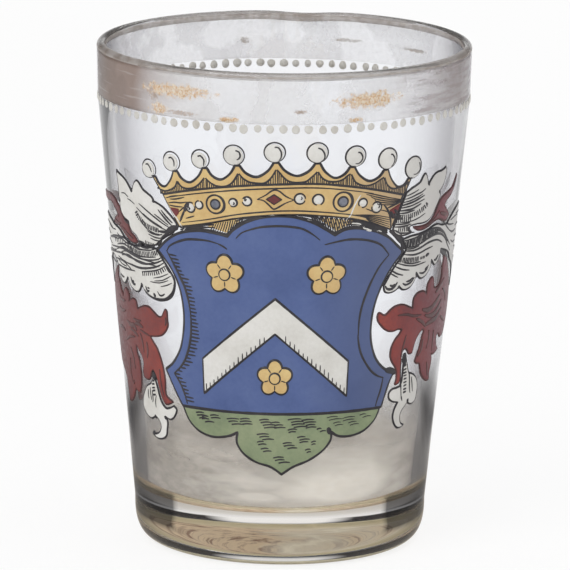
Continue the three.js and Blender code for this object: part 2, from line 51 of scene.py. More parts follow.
# Sizes of the part
HEIGHT = 115
RIM_RADIUS = 42.5
FOOT_RADIUS = 33.35
CONTACT_RADIUS = 28
FOOT_HEIGHT = 9.1
FOOT_SQUARENESS = 0.74
LIP_HEIGHT = 13.4
LIP_LEAN = 0.3
LIP_ROUND = 1
WALL_AT_RIM = 1.9
WALL_AT_BASE = 3.4
BASE_THICKNESS = 12.3
INSIDE_CORNER = 3.5
KICK_RADIUS = 19
KICK_DEPTH = 1.6
NECK_HEIGHT = HEIGHT - LIP_HEIGHT
NECK_RADIUS = RIM_RADIUS - LIP_LEAN
GILT_TOP = 113.8
GILT_BOTTOM = 104.1
BEAD_MIDDLE = 102.525
BEAD_RADIUS = 1.075
BEAD_COUNT = 92
SHEET_RADIUS = 40
SHEET_FOOT = 9.1
SHEET_BEADS = 102.3
SHEET_STRETCH = (BEAD_MIDDLE - FOOT_HEIGHT) / (SHEET_BEADS - SHEET_FOOT)

# The rim sinks a little at the back, as it was sheared by hand.
RIM_DIP = 0.56
RIM_DIP_ANGLE = math.radians(173.9)
RIM_DIP_SPREAD = 0.11
RIM_DIP_REACH = 16

# Enamel
ENAMEL_RISE = 0.2
ENAMEL_ROUNDING = 0.45
ENAMEL_EDGE = 0.25
ENAMEL_ROOT = 0.04
ENAMEL_RIPPLE = 0.12
ENAMEL_RIPPLE_SCALE = 0.35
EDGE_RINGS = (0.12, 0.4, 1)
GRID_ROW = 0.87
LINE_RISE = 0.09
LINE_WIDTH = 0.8
LINE_STEP = 0.4
LINE_RIPPLE = 0.16
LINE_RIPPLE_SCALE = 0.6
TAPER_SHARE = 0.35
TAPER_POWER = 0.6
STROKE_WEIGHT = 1.28
CHECK_SHIFT = 0.12
CHECK_TURN = 0.15
CHECK_WIDTHS = (0.85, 1.2)
ARC_STEP = 20


# The glass as a surface to draw on
def outer_radius(z):
    """Radius of the outside of the wall above the foot."""
    lip = NECK_RADIUS + LIP_LEAN * (z - NECK_HEIGHT) / (HEIGHT - LIP_ROUND - NECK_HEIGHT)
    cone = FOOT_RADIUS + (NECK_RADIUS - FOOT_RADIUS) * (z - FOOT_HEIGHT) / (NECK_HEIGHT - FOOT_HEIGHT)
    return np.where(z > NECK_HEIGHT, lip, cone)


def settle(theta, z):
    """Height on the glass with the dip of the rim taken off."""
    off = np.abs(np.angle(np.exp(1j * (theta - RIM_DIP_ANGLE)))) / RIM_DIP_SPREAD
    share = np.clip(1 - (HEIGHT - z) / RIM_DIP_REACH, 0, 1)
    return z - RIM_DIP * np.exp(-off**2 / 2) * share * share * (3 - 2 * share)


def on_wall(theta, z, lift):
    """Points on the outside of the wall, lift off it, in metres."""
    theta, z, lift = np.broadcast_arrays(*(np.asarray(v, float) for v in (theta, z, lift)))
    slope = np.arctan((outer_radius(z + 1) - outer_radius(z - 1)) / 2)
    radius = outer_radius(z) + lift * np.cos(slope)
    height = settle(theta, z) - lift * np.sin(slope)
    return np.stack([radius * np.sin(theta), -radius * np.cos(theta), height], -1) * MM


def on_sheet(points, lift):
    """Points of the sheet on the glass, lift off it, in metres."""
    points = np.asarray(points, float)
    height = FOOT_HEIGHT + (points[..., 1] - SHEET_FOOT) * SHEET_STRETCH
    return on_wall(points[..., 0] / SHEET_RADIUS, height, lift)


# Lines on the sheet
def curve(points, step=0.5):
    """Closely spaced points on the smooth curve through points."""
    p = np.reshape(points, (-1, 2)).astype(float)
    ends = np.vstack([p[:1], p, p[-1:]])
    parts = []
    for a, b, c, d in zip(ends, ends[1:], ends[2:], ends[3:]):
        n = max(1, math.ceil(np.linalg.norm(c - b) / step))
        t = np.arange(n)[:, None] / n
        go, come = (c - a) / 2, (d - b) / 2
        parts.append(
            (2 * b - 2 * c + go + come) * t**3 + (3 * c - 3 * b - 2 * go - come) * t**2 + go * t + b
        )
    return np.vstack([*parts, p[-1:]])


def outline(*stretches, step=0.5):
    """A closed line. Each stretch is smooth from its first point to the first point of the next one."""
    stretches = [np.reshape(stretch, (-1, 2)) for stretch in stretches]
    following = stretches[1:] + stretches[:1]
    return np.vstack([curve([*a, b[0]], step)[:-1] for a, b in zip(stretches, following)])


def to_corner(points):
    return [points[:-1], points[-1:]]


def ellipse(x, y, wide, high, steps=28):
    turn = np.arange(steps) / steps * 2 * math.pi
    return np.stack([x + wide * np.cos(turn), y + high * np.sin(turn)], 1)


def arc(x, y, radius, start, end):
    """Points on a circle between two angles in degrees."""
    turn = np.radians(np.arange(start, end, ARC_STEP))
    return np.stack([x + radius * np.cos(turn), y + radius * np.sin(turn)], 1)


def height_at(line, x):
    return np.interp(x, line[:, 0], line[:, 1])


def depth_inside(points, line):
    """How far each point lies inside a closed line. Outside it is below zero."""
    a, b = line, np.roll(line, -1, 0)
    along = b - a
    size = np.maximum((along**2).sum(1), 1e-12)
    depth = np.empty(len(points))
    for i in range(0, len(points), 2000):
        p = points[i:i + 2000, None]
        t = np.clip(((p - a) * along).sum(2) / size, 0, 1)
        away = p - a - t[..., None] * along
        least = np.sqrt((away**2).sum(2).min(1))
        over = (a[:, 1] > p[..., 1]) != (b[:, 1] > p[..., 1])
        rise = np.where(along[:, 1] == 0, 1, along[:, 1])
        cross = a[:, 0] + (p[..., 1] - a[:, 1]) * along[:, 0] / rise
        inside = (over & (p[..., 0] < cross)).sum(1) % 2 == 1
        depth[i:i + 2000] = np.where(inside, least, -least)
    return depth


def sideways(ahead):
    """The unit vectors to the left of a line that runs ahead at each of its points."""
    ahead = ahead / np.maximum(np.linalg.norm(ahead, axis=1), 1e-9)[:, None]
    return np.stack([-ahead[:, 1], ahead[:, 0]], 1)


def crown(depth, rise, rounding):
    """Height of an enamel patch at a depth inside its edge."""
    share = np.clip(depth / rounding, 0, 1)
    return np.where(depth < 0, 0, rise * (ENAMEL_EDGE + (1 - ENAMEL_EDGE) * np.sqrt(1 - (1 - share) ** 2)))


class Relief:
    """How high the enamel stands over the glass anywhere on the sheet."""

    def __init__(self):
        self.patches = []

    def add(self, line, rise, rounding):
        self.patches.append((line, rise, rounding))

    def at(self, points):
        points = np.asarray(points, float)
        flat = points.reshape(-1, 2)
        height = np.zeros(len(flat))
        for line, rise, rounding in self.patches:
            near = np.all((flat > line.min(0)) & (flat < line.max(0)), 1)
            if near.any():
                height[near] += crown(depth_inside(flat[near], line), rise, rounding)
        return height.reshape(points.shape[:-1])


relief = Relief()


# Meshes
def link(name, data):
    thing = bpy.data.objects.new(name, data)
    bpy.context.collection.objects.link(thing)
    return thing


def make_piece(name, vertices, faces, material, replaces=()):
    mesh = bpy.data.meshes.new(name)
    mesh.from_pydata([tuple(v) for v in vertices], [], faces)
    mesh.validate()
    mesh.update()
    mesh.polygons.foreach_set("use_smooth", [True] * len(mesh.polygons))
    mesh.materials.append(material)
    piece = link(name, mesh)
    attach(piece, "root")
    if replaces:
        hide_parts(*replaces)


class Skin:
    """Surfaces through rings of points, gathered into one piece. A ring of one point closes an end."""

    def __init__(self):
        self.vertices, self.faces = [], []

    def add(self, rings, closed=False):
        steps = max(len(ring) for ring in rings)
        corners = []
        for ring in rings:
            first = len(self.vertices)
            corners.append([first + k % len(ring) for k in range(steps + 1)])
            self.vertices += list(ring)
        for a, b in zip(corners, corners[1:] + corners[:closed]):
            self.faces += [tuple(dict.fromkeys((a[k], a[k + 1], b[k + 1], b[k]))) for k in range(steps)]
        if not closed:
            for end, turn in ((0, -1), (-1, 1)):
                if len(rings[end]) > 1:
                    self.faces.append(tuple(corners[end][:steps][::turn]))
        return self

    def piece(self, name, material, slot=None, replaces=()):
        make_piece(name, self.vertices, self.faces, material, replaces)


def inset_ring(line, depth):
    """Points at a depth inside a closed line, without those that come too close to its other side."""
    side = sideways(np.roll(line, -1, 0) - np.roll(line, 1, 0))
    turn = np.cross(line, np.roll(line, -1, 0)).sum()
    ring = line + side * depth * np.sign(turn)
    return ring[depth_inside(ring, line) > depth * 0.85]


def fill_points(line, rounding, spacing):
    """Points for the surface of a patch: rings near its edge and a triangular grid inside them."""
    low, high = line.min(0), line.max(0)
    rows = np.arange(low[1], high[1], spacing * GRID_ROW)
    grid = [
        (x, y)
        for i, y in enumerate(rows)
        for x in np.arange(low[0] + spacing / 2 * (i % 2), high[0], spacing)
    ]
    rings = [inset_ring(line, rounding * share) for share in EDGE_RINGS]
    if grid:
        grid = np.array(grid)
        rings.append(grid[depth_inside(grid, line) > rounding + spacing * 0.4])
    return np.vstack(rings)


def enamel(name, material, lines, rise=ENAMEL_RISE, rounding=ENAMEL_ROUNDING, spacing=1.2):
    """A piece of enamel inside each of the lines, fused to what is already there."""
    vertices, faces = [], []
    for line in lines:
        points = np.vstack([line, fill_points(line, rounding, spacing)])
        edges = [(i, (i + 1) % len(line)) for i in range(len(line))]
        flat, _, cells, *_ = delaunay_2d_cdt([Vector(p) for p in points], edges, [], 1, 1e-5)
        flat = np.array([tuple(p) for p in flat])
        base = relief.at(flat)
        own = crown(np.maximum(depth_inside(flat, line), 0), rise, rounding)
        ripple = np.array([noise.noise(Vector((x, y, 3)) * ENAMEL_RIPPLE_SCALE) for x, y in flat])
        first, count = len(vertices), len(flat)
        vertices += list(on_sheet(flat, base + own * (1 + ENAMEL_RIPPLE * ripple)))
        vertices += list(on_sheet(flat, base - ENAMEL_ROOT))
        used = {}
        for a, b, c in cells:
            if np.cross(flat[b] - flat[a], flat[c] - flat[a]) < 0:
                b, c = c, b
            faces.append((first + a, first + b, first + c))
            faces.append((first + count + a, first + count + c, first + count + b))
            used.update(dict.fromkeys(((a, b), (b, c), (c, a))))
        for a, b in used:
            if (b, a) not in used:
                faces.append((first + b, first + a, first + count + a, first + count + b))
        relief.add(line, rise, rounding)
    make_piece(name, vertices, faces, material, [name])


class Brush(Skin):
    """Raised brush lines, gathered into one piece."""

    ACROSS = np.array([1, 0.7, 0.35, 0, -0.35, -0.7, -1])
    ROUND_TOP = LINE_RISE * (1 - ACROSS**2) - ENAMEL_ROOT * (np.abs(ACROSS) == 1)

    def line(self, points, width=LINE_WIDTH, taper=(0.35, 0.35), closed=False):
        """A line that starts and ends at the shares of its width in taper. A closed one isn't smoothed."""
        path = points if closed else curve(points, LINE_STEP)
        gap = np.linalg.norm(np.diff(path, axis=0), axis=1)
        path = path[np.r_[True, gap > 1e-6]]
        ahead = (np.roll(path, -1, 0) - np.roll(path, 1, 0)) if closed else np.gradient(path, axis=0)
        thick = np.full(len(path), width)
        if not closed:
            share = np.arange(len(path)) / max(len(path) - 1, 1)
            for end, reach in zip(taper, (share, 1 - share)):
                thick *= end + (1 - end) * np.clip(reach / TAPER_SHARE, 0, 1) ** TAPER_POWER
        seed = draw.uniform(0, 100)
        spots = [Vector((x * LINE_RIPPLE_SCALE, y * LINE_RIPPLE_SCALE, seed)) for x, y in path]
        thick *= [1 + LINE_RIPPLE * noise.noise(spot) for spot in spots]
        side = sideways(ahead)[:, None] * (thick[:, None, None] / 2)
        points = path[:, None] + side * self.ACROSS[None, :, None]
        self.add(on_sheet(points, relief.at(points) + self.ROUND_TOP), closed)

    def around(self, line, width):
        self.line(line, width, closed=True)

    def strokes(self, strokes):
        """Lines that are each given as a width and their points."""
        for width, *points in strokes:
            self.line(points, width * STROKE_WEIGHT)

    def checks(self, count, size, width, *path):
        """Short marks set across a line at even steps, as the rows of checks on the mantling."""
        line = curve(path, 0.1)
        along = np.r_[0, np.cumsum(np.linalg.norm(np.diff(line, axis=0), axis=1))]
        for i in range(count):
            at = along[-1] * (i + 0.5 + draw.uniform(-CHECK_SHIFT, CHECK_SHIFT)) / count
            x, y = (np.interp(at, along, line[:, k]) for k in (0, 1))
            x2, y2 = (np.interp(at + 0.2, along, line[:, k]) for k in (0, 1))
            turn = math.atan2(y2 - y, x2 - x) + math.pi / 2 + draw.uniform(-CHECK_TURN, CHECK_TURN)
            a, b = size / 2 * math.cos(turn), size / 2 * math.sin(turn)
            self.line([x - a, y - b, x, y, x + a, y + b], width * draw.uniform(*CHECK_WIDTHS), (0.8, 0.8))


# Materials
def rgb(colour):
    """A colour of the screen, 0 to 255, as the shaders take it."""
    return (*((v / 255 / 12.92 if v <= 10 else ((v / 255 + 0.055) / 1.055) ** 2.4) for v in colour), 1)


class Nodes:
    """A tree of shader nodes, built one by one. Colours are given as those of the screen."""

    def __init__(self, tree):
        self.tree = tree

    def node(self, kind, inputs=None, **settings):
        made = self.tree.nodes.new("ShaderNode" + kind)
        for key, value in settings.items():
            setattr(made, key, value)
        for key, value in (inputs or {}).items():
            self.feed(made.inputs[key], value)
        return made

    def feed(self, socket, value):
        if isinstance(value, bpy.types.NodeSocket):
            self.tree.links.new(value, socket)
        else:
            socket.default_value = rgb(value) if socket.type == "RGBA" else value

    def axes(self, vector):
        return self.node("SeparateXYZ", {0: vector}).outputs

    def ramp(self, value, *stops):
        """A colour, or a share, that runs from stop to stop."""
        made = self.node("ValToRGB", {"Fac": value})
        points = made.color_ramp.elements
        while len(points) < len(stops):
            points.new(0.5)
        for point, (at, colour) in zip(points, stops):
            point.position = at
            point.color = rgb(colour) if isinstance(colour, tuple) else (colour, colour, colour, 1)
        return made.outputs[0]

    def mix(self, share, a, b):
        return self.node("Mix", {0: share, 6: a, 7: b}, data_type="RGBA").outputs[2]

    def mix_shaders(self, share, a, b):
        return self.node("MixShader", {0: share, 1: a.outputs[0], 2: b.outputs[0]}).outputs[0]

    def calc(self, operation, *values):
        return self.node("Math", dict(enumerate(values)), operation=operation).outputs[0]

    def times(self, a, b):
        return self.calc("MULTIPLY", a, b)

    def size(self, value):
        return self.calc("ABSOLUTE", value)

    def most(self, *shares):
        whole = shares[0]
        for share in shares[1:]:
            whole = self.calc("MAXIMUM", whole, share)
        return whole


class Shade(Nodes):
    """A procedural material."""

    FRONT = 120.0

    def __init__(self, name):
        self.material = bpy.data.materials.new(name)
        self.material.use_nodes = True
        super().__init__(self.material.node_tree)
        self.surface = self.tree.nodes["Principled BSDF"]
        self.output = self.tree.nodes["Material Output"]
        self.place = self.node("TexCoord").outputs["Object"]

    def set(self, **values):
        for key, value in values.items():
            self.feed(self.surface.inputs[key.replace("_", " ")], value)

    def noise(self, size, detail=3, roughness=0.5, stretch=(1, 1, 1)):
        """Noise whose blots are about size millimetres wide."""
        place = self.node("Mapping", {"Vector": self.place, "Scale": stretch}).outputs[0]
        inputs = {"Vector": place, "Scale": 1 / (size * MM), "Detail": detail, "Roughness": roughness}
        return self.node("TexNoise", inputs).outputs[0]

    @cached_property
    def sheet(self):
        """Where the point lies on the sheet, in millimetres."""
        x, y, z = self.axes(self.place)
        turn = self.calc("ARCTAN2", x, self.times(y, -1.0))
        return self.times(turn, float(SHEET_RADIUS)), self.times(z, 1 / MM)

    @cached_property
    def front(self):
        """Zero at the left end of the front of the glass and one at its right end."""
        return self.calc("DIVIDE", self.calc("ADD", self.sheet[0], self.FRONT / 2), self.FRONT)

    def blobs(self, ragged, *ovals, soft=1.0):
        """Ragged ovals, given as x, y, half width and half height: one inside them and nothing outside."""
        shares = []
        for x, y, wide, high in ovals:
            far = self.times(self.calc("SUBTRACT", ragged, 0.5), 5.0)
            for value, centre, half in zip(self.sheet, (x, y), (wide, high)):
                away = self.calc("DIVIDE", self.calc("SUBTRACT", value, centre), half)
                far = self.calc("MULTIPLY_ADD", away, away, far)
            shares.append(self.ramp(self.times(far, soft), (0.35, 1.0), (1.0, 0.0)))
        return self.most(*shares)

    def bump(self, *layers):
        """Bumps from (height, millimetres) pairs."""
        normal = None
        for height, size in layers:
            made = self.node("Bump", {"Height": height, "Distance": size * MM, "Strength": 1.0})
            if normal:
                self.feed(made.inputs["Normal"], normal)
            normal = made.outputs[0]
        self.set(Normal=normal)


def glass_material():
    """Clear glass, with painted shade: greyer where it is seen edge on and painted dark where the wall
    meets the thick base.
    """
    shade = Shade("clear_glass")
    edge = shade.node("LayerWeight", {"Blend": 0.5}).outputs["Facing"]
    # Painted shade: the glass turns greyer the more it is seen edge on.
    painted_shade_tint = shade.ramp(
        edge, (0.0, (252, 253, 255)), (0.25, (250, 251, 253)), (0.36, (240, 241, 243)),
        (0.45, (226, 226, 229)), (0.55, (204, 203, 206)), (0.66, (168, 167, 170)),
        (0.78, (140, 139, 143)), (0.92, (154, 154, 158)),
    )
    # Painted shade: a dark band low down, where the wall meets the thick base and is seen edge on.
    height = shade.calc("DIVIDE", shade.sheet[1], 20.0)
    foot = shade.ramp(height, (0.28, 0.0), (0.34, 1.0), (0.72, 1.0), (0.78, 0.0))
    band = shade.times(foot, shade.ramp(edge, (0.33, 0.0), (0.37, 1.0)))
    painted_shade_tint = shade.mix(shade.times(band, 0.95), painted_shade_tint, (24, 26, 32))
    shade.set(Base_Color=painted_shade_tint, Roughness=0.0, IOR=1.5, Transmission_Weight=1.0)
    shade.bump((shade.noise(14, 1, stretch=(1, 1, 0.6)), 0.12))
    path = shade.node("LightPath").outputs
    lamps = shade.most(path["Is Shadow Ray"], path["Is Diffuse Ray"])
    clear = shade.node("BsdfTransparent", {"Color": (251, 251, 251)})
    shade.feed(shade.output.inputs["Surface"], shade.mix_shaders(lamps, shade.surface, clear))
    depth = shade.node("VolumeAbsorption", {"Color": (226, 217, 202), "Density": 8.0})
    shade.feed(shade.output.inputs["Volume"], depth.outputs[0])
    return shade.material


def enamel_material(name, colour, thin, deep, *shaded_sides, roughness=(0.3, 0.5)):
    """Fired enamel: colour that pools and thins, pits, a soft uneven gloss and painted shade at the ends.

    Each painted shade is a scale on x, the scaled places where its tone starts and is full, and the tone.
    """
    shade = Shade(name)
    pools = shade.noise(9, 4, 0.55)
    grain = shade.noise(0.8, 4, 0.6)
    pits = shade.noise(0.5, 1)
    tone = shade.ramp(pools, (0.3, deep), (0.5, colour), (0.72, thin))
    tone = shade.mix(0.25, tone, shade.ramp(grain, (0.35, deep), (0.65, thin)))
    tone = shade.mix(shade.ramp(pits, (0.76, 0.0), (0.82, 0.55)), tone, deep)
    across = shade.axes(shade.place)[0]
    # Painted shade: each tone darkens the enamel towards one end of x.
    for scale, near, far, side in shaded_sides:
        tone = shade.mix(shade.ramp(shade.times(across, scale), (near, 0.0), (far, 0.85)), tone, side)
    gloss = shade.ramp(grain, (0.3, roughness[0]), (0.7, roughness[1]))
    shade.set(Base_Color=tone, Roughness=gloss, IOR=1.5)
    shade.bump((pools, 0.05), (grain, 0.02), (shade.ramp(pits, (0.74, 1.0), (0.8, 0.0)), 0.015))
    return shade.material


def gilding_material():
    """What is left of the gilding: a pale haze in panels, mauve towards the left, gold in two places,
    with painted shade that darkens and thickens it towards both ends of the front, seen edge on.
    """
    shade = Shade("worn_gilding")
    clouds = shade.noise(9, 5, 0.6)
    flakes = shade.noise(1.1, 6, 0.75)
    grains = shade.noise(0.5, 3, 0.7)
    streaks = shade.noise(2.2, 5, 0.7, (0.25, 0.25, 1.6))
    scratches = shade.ramp(shade.noise(0.9, 2, stretch=(0.06, 0.06, 1.5)), (0.6, 0.0), (0.68, 1.0))
    edge = shade.calc("MULTIPLY_ADD", shade.calc("SUBTRACT", clouds, 0.5), 0.06, shade.front)
    # Painted shade: darker and denser towards both ends of the front, where the film is seen edge on.
    tone = shade.ramp(
        edge, (0.0, (226, 224, 226)), (0.03, (150, 140, 136)), (0.1, (138, 120, 110)),
        (0.2, (150, 131, 122)), (0.25, (192, 183, 180)), (0.3, (216, 213, 212)), (0.55, (226, 226, 228)),
        (0.75, (214, 211, 211)), (0.9, (176, 168, 167)), (0.99, (228, 227, 230)),
    )
    cover = shade.ramp(
        edge, (0.0, 0.16), (0.03, 0.6), (0.12, 0.8), (0.21, 0.68), (0.245, 0.42), (0.365, 0.3), (0.375, 0.2),
        (0.47, 0.22), (0.48, 0.1), (0.7, 0.2), (0.8, 0.4), (0.93, 0.45), (0.99, 0.12),
    )
    right = shade.ramp(shade.front, (0.68, 0.0), (0.76, 0.8), (0.96, 0.8), (0.99, 0.2))
    mottle = shade.times(shade.ramp(streaks, (0.46, 0.0), (0.6, 1.0)), right)
    tone = shade.mix(mottle, tone, (160, 146, 146))
    cover = shade.most(cover, shade.times(mottle, 0.55))
    gold = shade.blobs(
        flakes, (-24, 109.6, 9.5, 1.7), (-28.5, 105.2, 3, 1.6), (18.5, 108.6, 8, 2.1),
        (-11.5, 104.3, 2.2, 0.8), (15.5, 104.3, 1.6, 0.7),
    )
    bright = shade.mix(shade.ramp(grains, (0.42, 0.0), (0.6, 1.0)), (206, 164, 116), (238, 226, 206))
    brown = shade.blobs(grains, (-30, 108.6, 1.8, 2.2), (-22.5, 104.8, 3.6, 0.6), (3.6, 106.5, 1.5, 0.5))
    tone = shade.mix(shade.times(brown, 0.8), tone, (166, 140, 116))
    marks = shade.blobs(flakes, (111, 108.4, 3.5, 0.5), (93, 108, 4.5, 0.5), (-116.5, 108, 1.3, 1))
    tone = shade.mix(marks, tone, (150, 130, 106))
    tone = shade.mix(gold, tone, bright)
    cover = shade.most(cover, shade.times(gold, 0.62), shade.times(brown, 0.5), shade.times(marks, 0.35))
    tone = shade.mix(shade.times(scratches, 0.22), tone, (236, 232, 228))
    panels = shade.ramp(shade.noise(12, 3, 0.4), (0.46, 0.0), (0.51, 0.14))
    specks = shade.ramp(flakes, (0.4, 0.0), (0.66, 0.06))
    cover = shade.calc("ADD", cover, shade.calc("ADD", panels, specks))
    shade.set(Base_Color=tone, Roughness=0.42, IOR=1.5, Alpha=cover)
    shade.bump((flakes, 0.02), (scratches, -0.01))
    return shade.material


def lip_material():
    """The gilding on the lip, rubbed to a soft brown-grey, palest in front and along the top. Towards both
    ends of the front and down its sides the brown is painted shade, where the lip is seen edge on.
    """
    shade = Shade("worn_lip_and_shade")
    rub = shade.noise(2.5, 5, 0.65)
    # Painted shade: darker towards both ends of the front, where the lip is seen edge on.
    tone = shade.ramp(
        shade.front, (0.0, (186, 178, 172)), (0.06, (140, 128, 120)), (0.2, (158, 146, 138)),
        (0.36, (214, 209, 205)), (0.6, (222, 219, 216)), (0.8, (186, 179, 174)), (0.92, (164, 155, 149)),
        (1.0, (186, 178, 172)),
    )
    # Painted shade: browner down the sides of the lip.
    side = shade.ramp(shade.calc("SUBTRACT", shade.sheet[1], 114.0), (0.2, 0.6), (0.5, 0.0))
    tone = shade.mix(side, tone, (146, 130, 118))
    worn = shade.ramp(rub, (0.4, 0.0), (0.62, 1.0))
    tone = shade.mix(shade.times(worn, 0.5), tone, (228, 224, 220))
    # Painted shade: denser towards both ends of the front.
    left = shade.ramp(
        shade.front, (0.0, 0.12), (0.08, 0.7), (0.2, 0.7), (0.3, 0.12), (0.7, 0.12), (0.86, 0.45),
        (0.93, 0.5), (1.0, 0.12),
    )
    cover = shade.times(shade.ramp(rub, (0.35, 1.0), (0.68, 0.75)), left)
    cover = shade.most(shade.times(side, 0.9), cover)
    shade.set(Base_Color=tone, Roughness=0.38, IOR=1.5, Alpha=cover)
    shade.bump((rub, 0.02))
    return shade.material


def foot_material():
    """Stains and wear on the underside, with painted light: a bright line that runs from front to back
    and a bright spot, as light gathered through the base.
    """
    shade = Shade("foot_wear_and_light")
    swirls = shade.noise(2.4, 5, 0.62, (0.8, 1.3, 1))
    clouds = shade.noise(11, 4, 0.6)
    bend = shade.times(shade.calc("SUBTRACT", clouds, 0.5), 0.022)
    across = shade.calc("ADD", shade.axes(shade.place)[0], bend)
    beside = shade.size(across)
    stain = shade.mix(shade.ramp(swirls, (0.38, 0.0), (0.52, 1.0)), (132, 84, 54), (255, 234, 202))
    haze = shade.mix(shade.ramp(clouds, (0.38, 0.0), (0.62, 1.0)), (240, 222, 198), (255, 246, 230))
    tone = shade.mix(shade.ramp(beside, (0.008, 0.95), (0.017, 0.5)), haze, stain)
    tone = shade.mix(shade.ramp(beside, (0.013, 0.0), (0.024, 0.6)), tone, (184, 168, 144))
    # Painted light: a bright line and a bright spot, as light gathered through the base.
    painted_light_streak = shade.ramp(shade.size(shade.calc("SUBTRACT", across, 0.0045)), (0.002, 1.0), (0.0065, 0.0))
    to_patch = {0: shade.place, 1: (0.0115, 0.027, 0)}
    patch = shade.node("VectorMath", to_patch, operation="DISTANCE").outputs["Value"]
    light = shade.most(painted_light_streak, shade.ramp(shade.calc("ADD", patch, bend), (0.002, 1.0), (0.007, 0.0)))
    tone = shade.mix(shade.times(light, 0.9), tone, (255, 252, 236))
    far = shade.node("VectorMath", {0: shade.place}, operation="LENGTH").outputs["Value"]
    tone = shade.mix(shade.ramp(far, (0.0272, 0.0), (0.0285, 1.0)), tone, (242, 230, 200))
    tone = shade.mix(shade.ramp(far, (0.0298, 0.0), (0.0312, 1.0)), tone, (230, 221, 190))
    cover = shade.most(shade.ramp(swirls, (0.35, 0.94), (0.65, 0.8)), light)
    shade.set(Base_Color=tone, Roughness=0.6, IOR=1.5, Specular_IOR_Level=0.1, Alpha=cover)
    shade.bump((swirls, 0.02))
    return shade.material


def haze_and_shade_material():
    """A grey-beige layer low inside the glass: partly a dried bloom, partly painted shade. Pale streaks
    are wiped through it, with painted patches of light.
    """
    shade = Shade("inside_haze_and_shade")
    wipes = shade.noise(8, 3, 0.5, (0.35, 0.6, 1.7))
    fine = shade.noise(1.6, 5, 0.65, (0.6, 0.9, 1.3))
    # Pale wiped streaks, and painted light: a broad patch to the right and a small bright spot low down.
    light = shade.most(
        shade.ramp(wipes, (0.42, 0.0), (0.72, 0.7)), shade.blobs(wipes, (16, 22, 13, 5), soft=0.3),
        shade.times(shade.blobs(fine, (-6.5, 16.4, 3, 0.5), soft=0.15), 0.6),
    )
    # Painted shade: darker towards the left of the front.
    side = shade.ramp(shade.front, (0.0, 0.0), (0.12, 0.7), (0.35, 0.7), (0.55, 0.0))
    tone = shade.mix(light, shade.mix(side, (206, 199, 190), (172, 166, 158)), (255, 250, 240))
    tone = shade.mix(shade.ramp(fine, (0.42, 0.0), (0.6, 0.3)), tone, (240, 232, 218))
    height = shade.calc("DIVIDE", shade.sheet[1], 60.0)
    cover = shade.ramp(height, (0.2, 0.7), (0.33, 0.64), (0.42, 0.4), (0.54, 0.12), (0.7, 0.0))
    cover = shade.times(cover, shade.ramp(wipes, (0.35, 0.8), (0.6, 1.0)))
    lit = shade.calc("SUBTRACT", 1.0, shade.node("LightPath").outputs["Is Shadow Ray"])
    cover = shade.times(cover, lit)
    shade.set(Base_Color=tone, Roughness=0.6, IOR=1.5, Specular_IOR_Level=0.1, Alpha=cover)
    shade.bump((fine, 0.01))
    return shade.material


CLEAR_GLASS = glass_material()
FOOT_WEAR_AND_LIGHT = foot_material()
INSIDE_HAZE_AND_SHADE = haze_and_shade_material()
WORN_GILDING_AND_SHADE = gilding_material()
WORN_LIP_AND_SHADE = lip_material()
# A tone after the first three is painted shade, darker or greyer towards the right (scale 20) or the left
# (scale -20).
WHITE = enamel_material(
    "white_enamel", (221, 219, 213), (229, 227, 223), (205, 202, 195), (20, 0.46, 0.7, (188, 185, 182))
)
GOLD = enamel_material(
    "gold_enamel", (212, 180, 122), (222, 196, 136), (198, 162, 104), (20, 0.2, 0.5, (186, 160, 128))
)
BLUE = enamel_material(
    "blue_enamel", (79, 98, 149), (88, 106, 154), (69, 88, 138), (20, 0.1, 0.5, (82, 93, 128))
)
RED = enamel_material(
    "red_enamel", (142, 56, 48), (166, 76, 60), (106, 44, 44),
    (20, 0.44, 0.7, (96, 28, 44)), (-20, 0.5, 0.72, (88, 18, 24)),
)
DEEP_RED = enamel_material("ruby_enamel", (110, 44, 46), (128, 56, 56), (86, 36, 40))
STONE = enamel_material("stone_enamel", (104, 108, 122), (146, 148, 156), (66, 68, 80))
GREEN = enamel_material("green_enamel", (134, 147, 113), (150, 158, 124), (118, 131, 102))
BEADS = enamel_material("bead_enamel", (206, 203, 196), (217, 215, 210), (186, 180, 171))
BLACK = enamel_material(
    "black_enamel", (50, 48, 52), (66, 62, 64), (40, 38, 44), roughness=(0.35, 0.5)
)
DARK_RED = enamel_material(
    "dark_red_enamel", (84, 48, 48), (104, 58, 56), (62, 40, 42), roughness=(0.35, 0.5)
)


# Glass
SIDES = 288
TURN = np.arange(SIDES) / SIDES * 2 * math.pi
KICK_ROWS, FOOT_ROWS, WALL_ROWS, LIP_EDGE_ROWS, LIP_ROWS = 8, 20, 46, 6, 16
INSIDE_ROWS, CORNER_ROWS, FLOOR_ROWS = 50, 14, 14
WAVE_EASE = 12
FOOT_LAYER_REACH = math.radians(36)
FOOT_LAYER_INSET = 0.08
FOOT_LAYER_LIFTS = (0.03, 0.06)
HAZE_SHADE_TOP = 42
HAZE_SHADE_MIDDLE = 0.4
HAZE_SHADE_LAYERS = ((0.21, 0.06), (0.17, 0.02))


def ring(radius, height):
    """Points round the axis, or one point on it where the radius is zero."""
    theta = TURN if np.any(radius) else TURN[:1]
    height = settle(theta, height + 0 * theta)
    return np.stack([radius * np.sin(theta), -radius * np.cos(theta), height], 1) * MM


def angles(steps, reach=math.pi / 2):
    return [i / steps * reach for i in range(1, steps + 1)]


def stretch(start, end, steps):
    """Rows of radius and height on a straight stretch, without its start."""
    return [
        (start[0] + (end[0] - start[0]) * i / steps, start[1] + (end[1] - start[1]) * i / steps)
        for i in range(1, steps + 1)
    ]


def kick_rows():
    shares = [i / KICK_ROWS for i in range(KICK_ROWS + 1)]
    return [(KICK_RADIUS * share, KICK_DEPTH * (1 - share**2)) for share in shares]


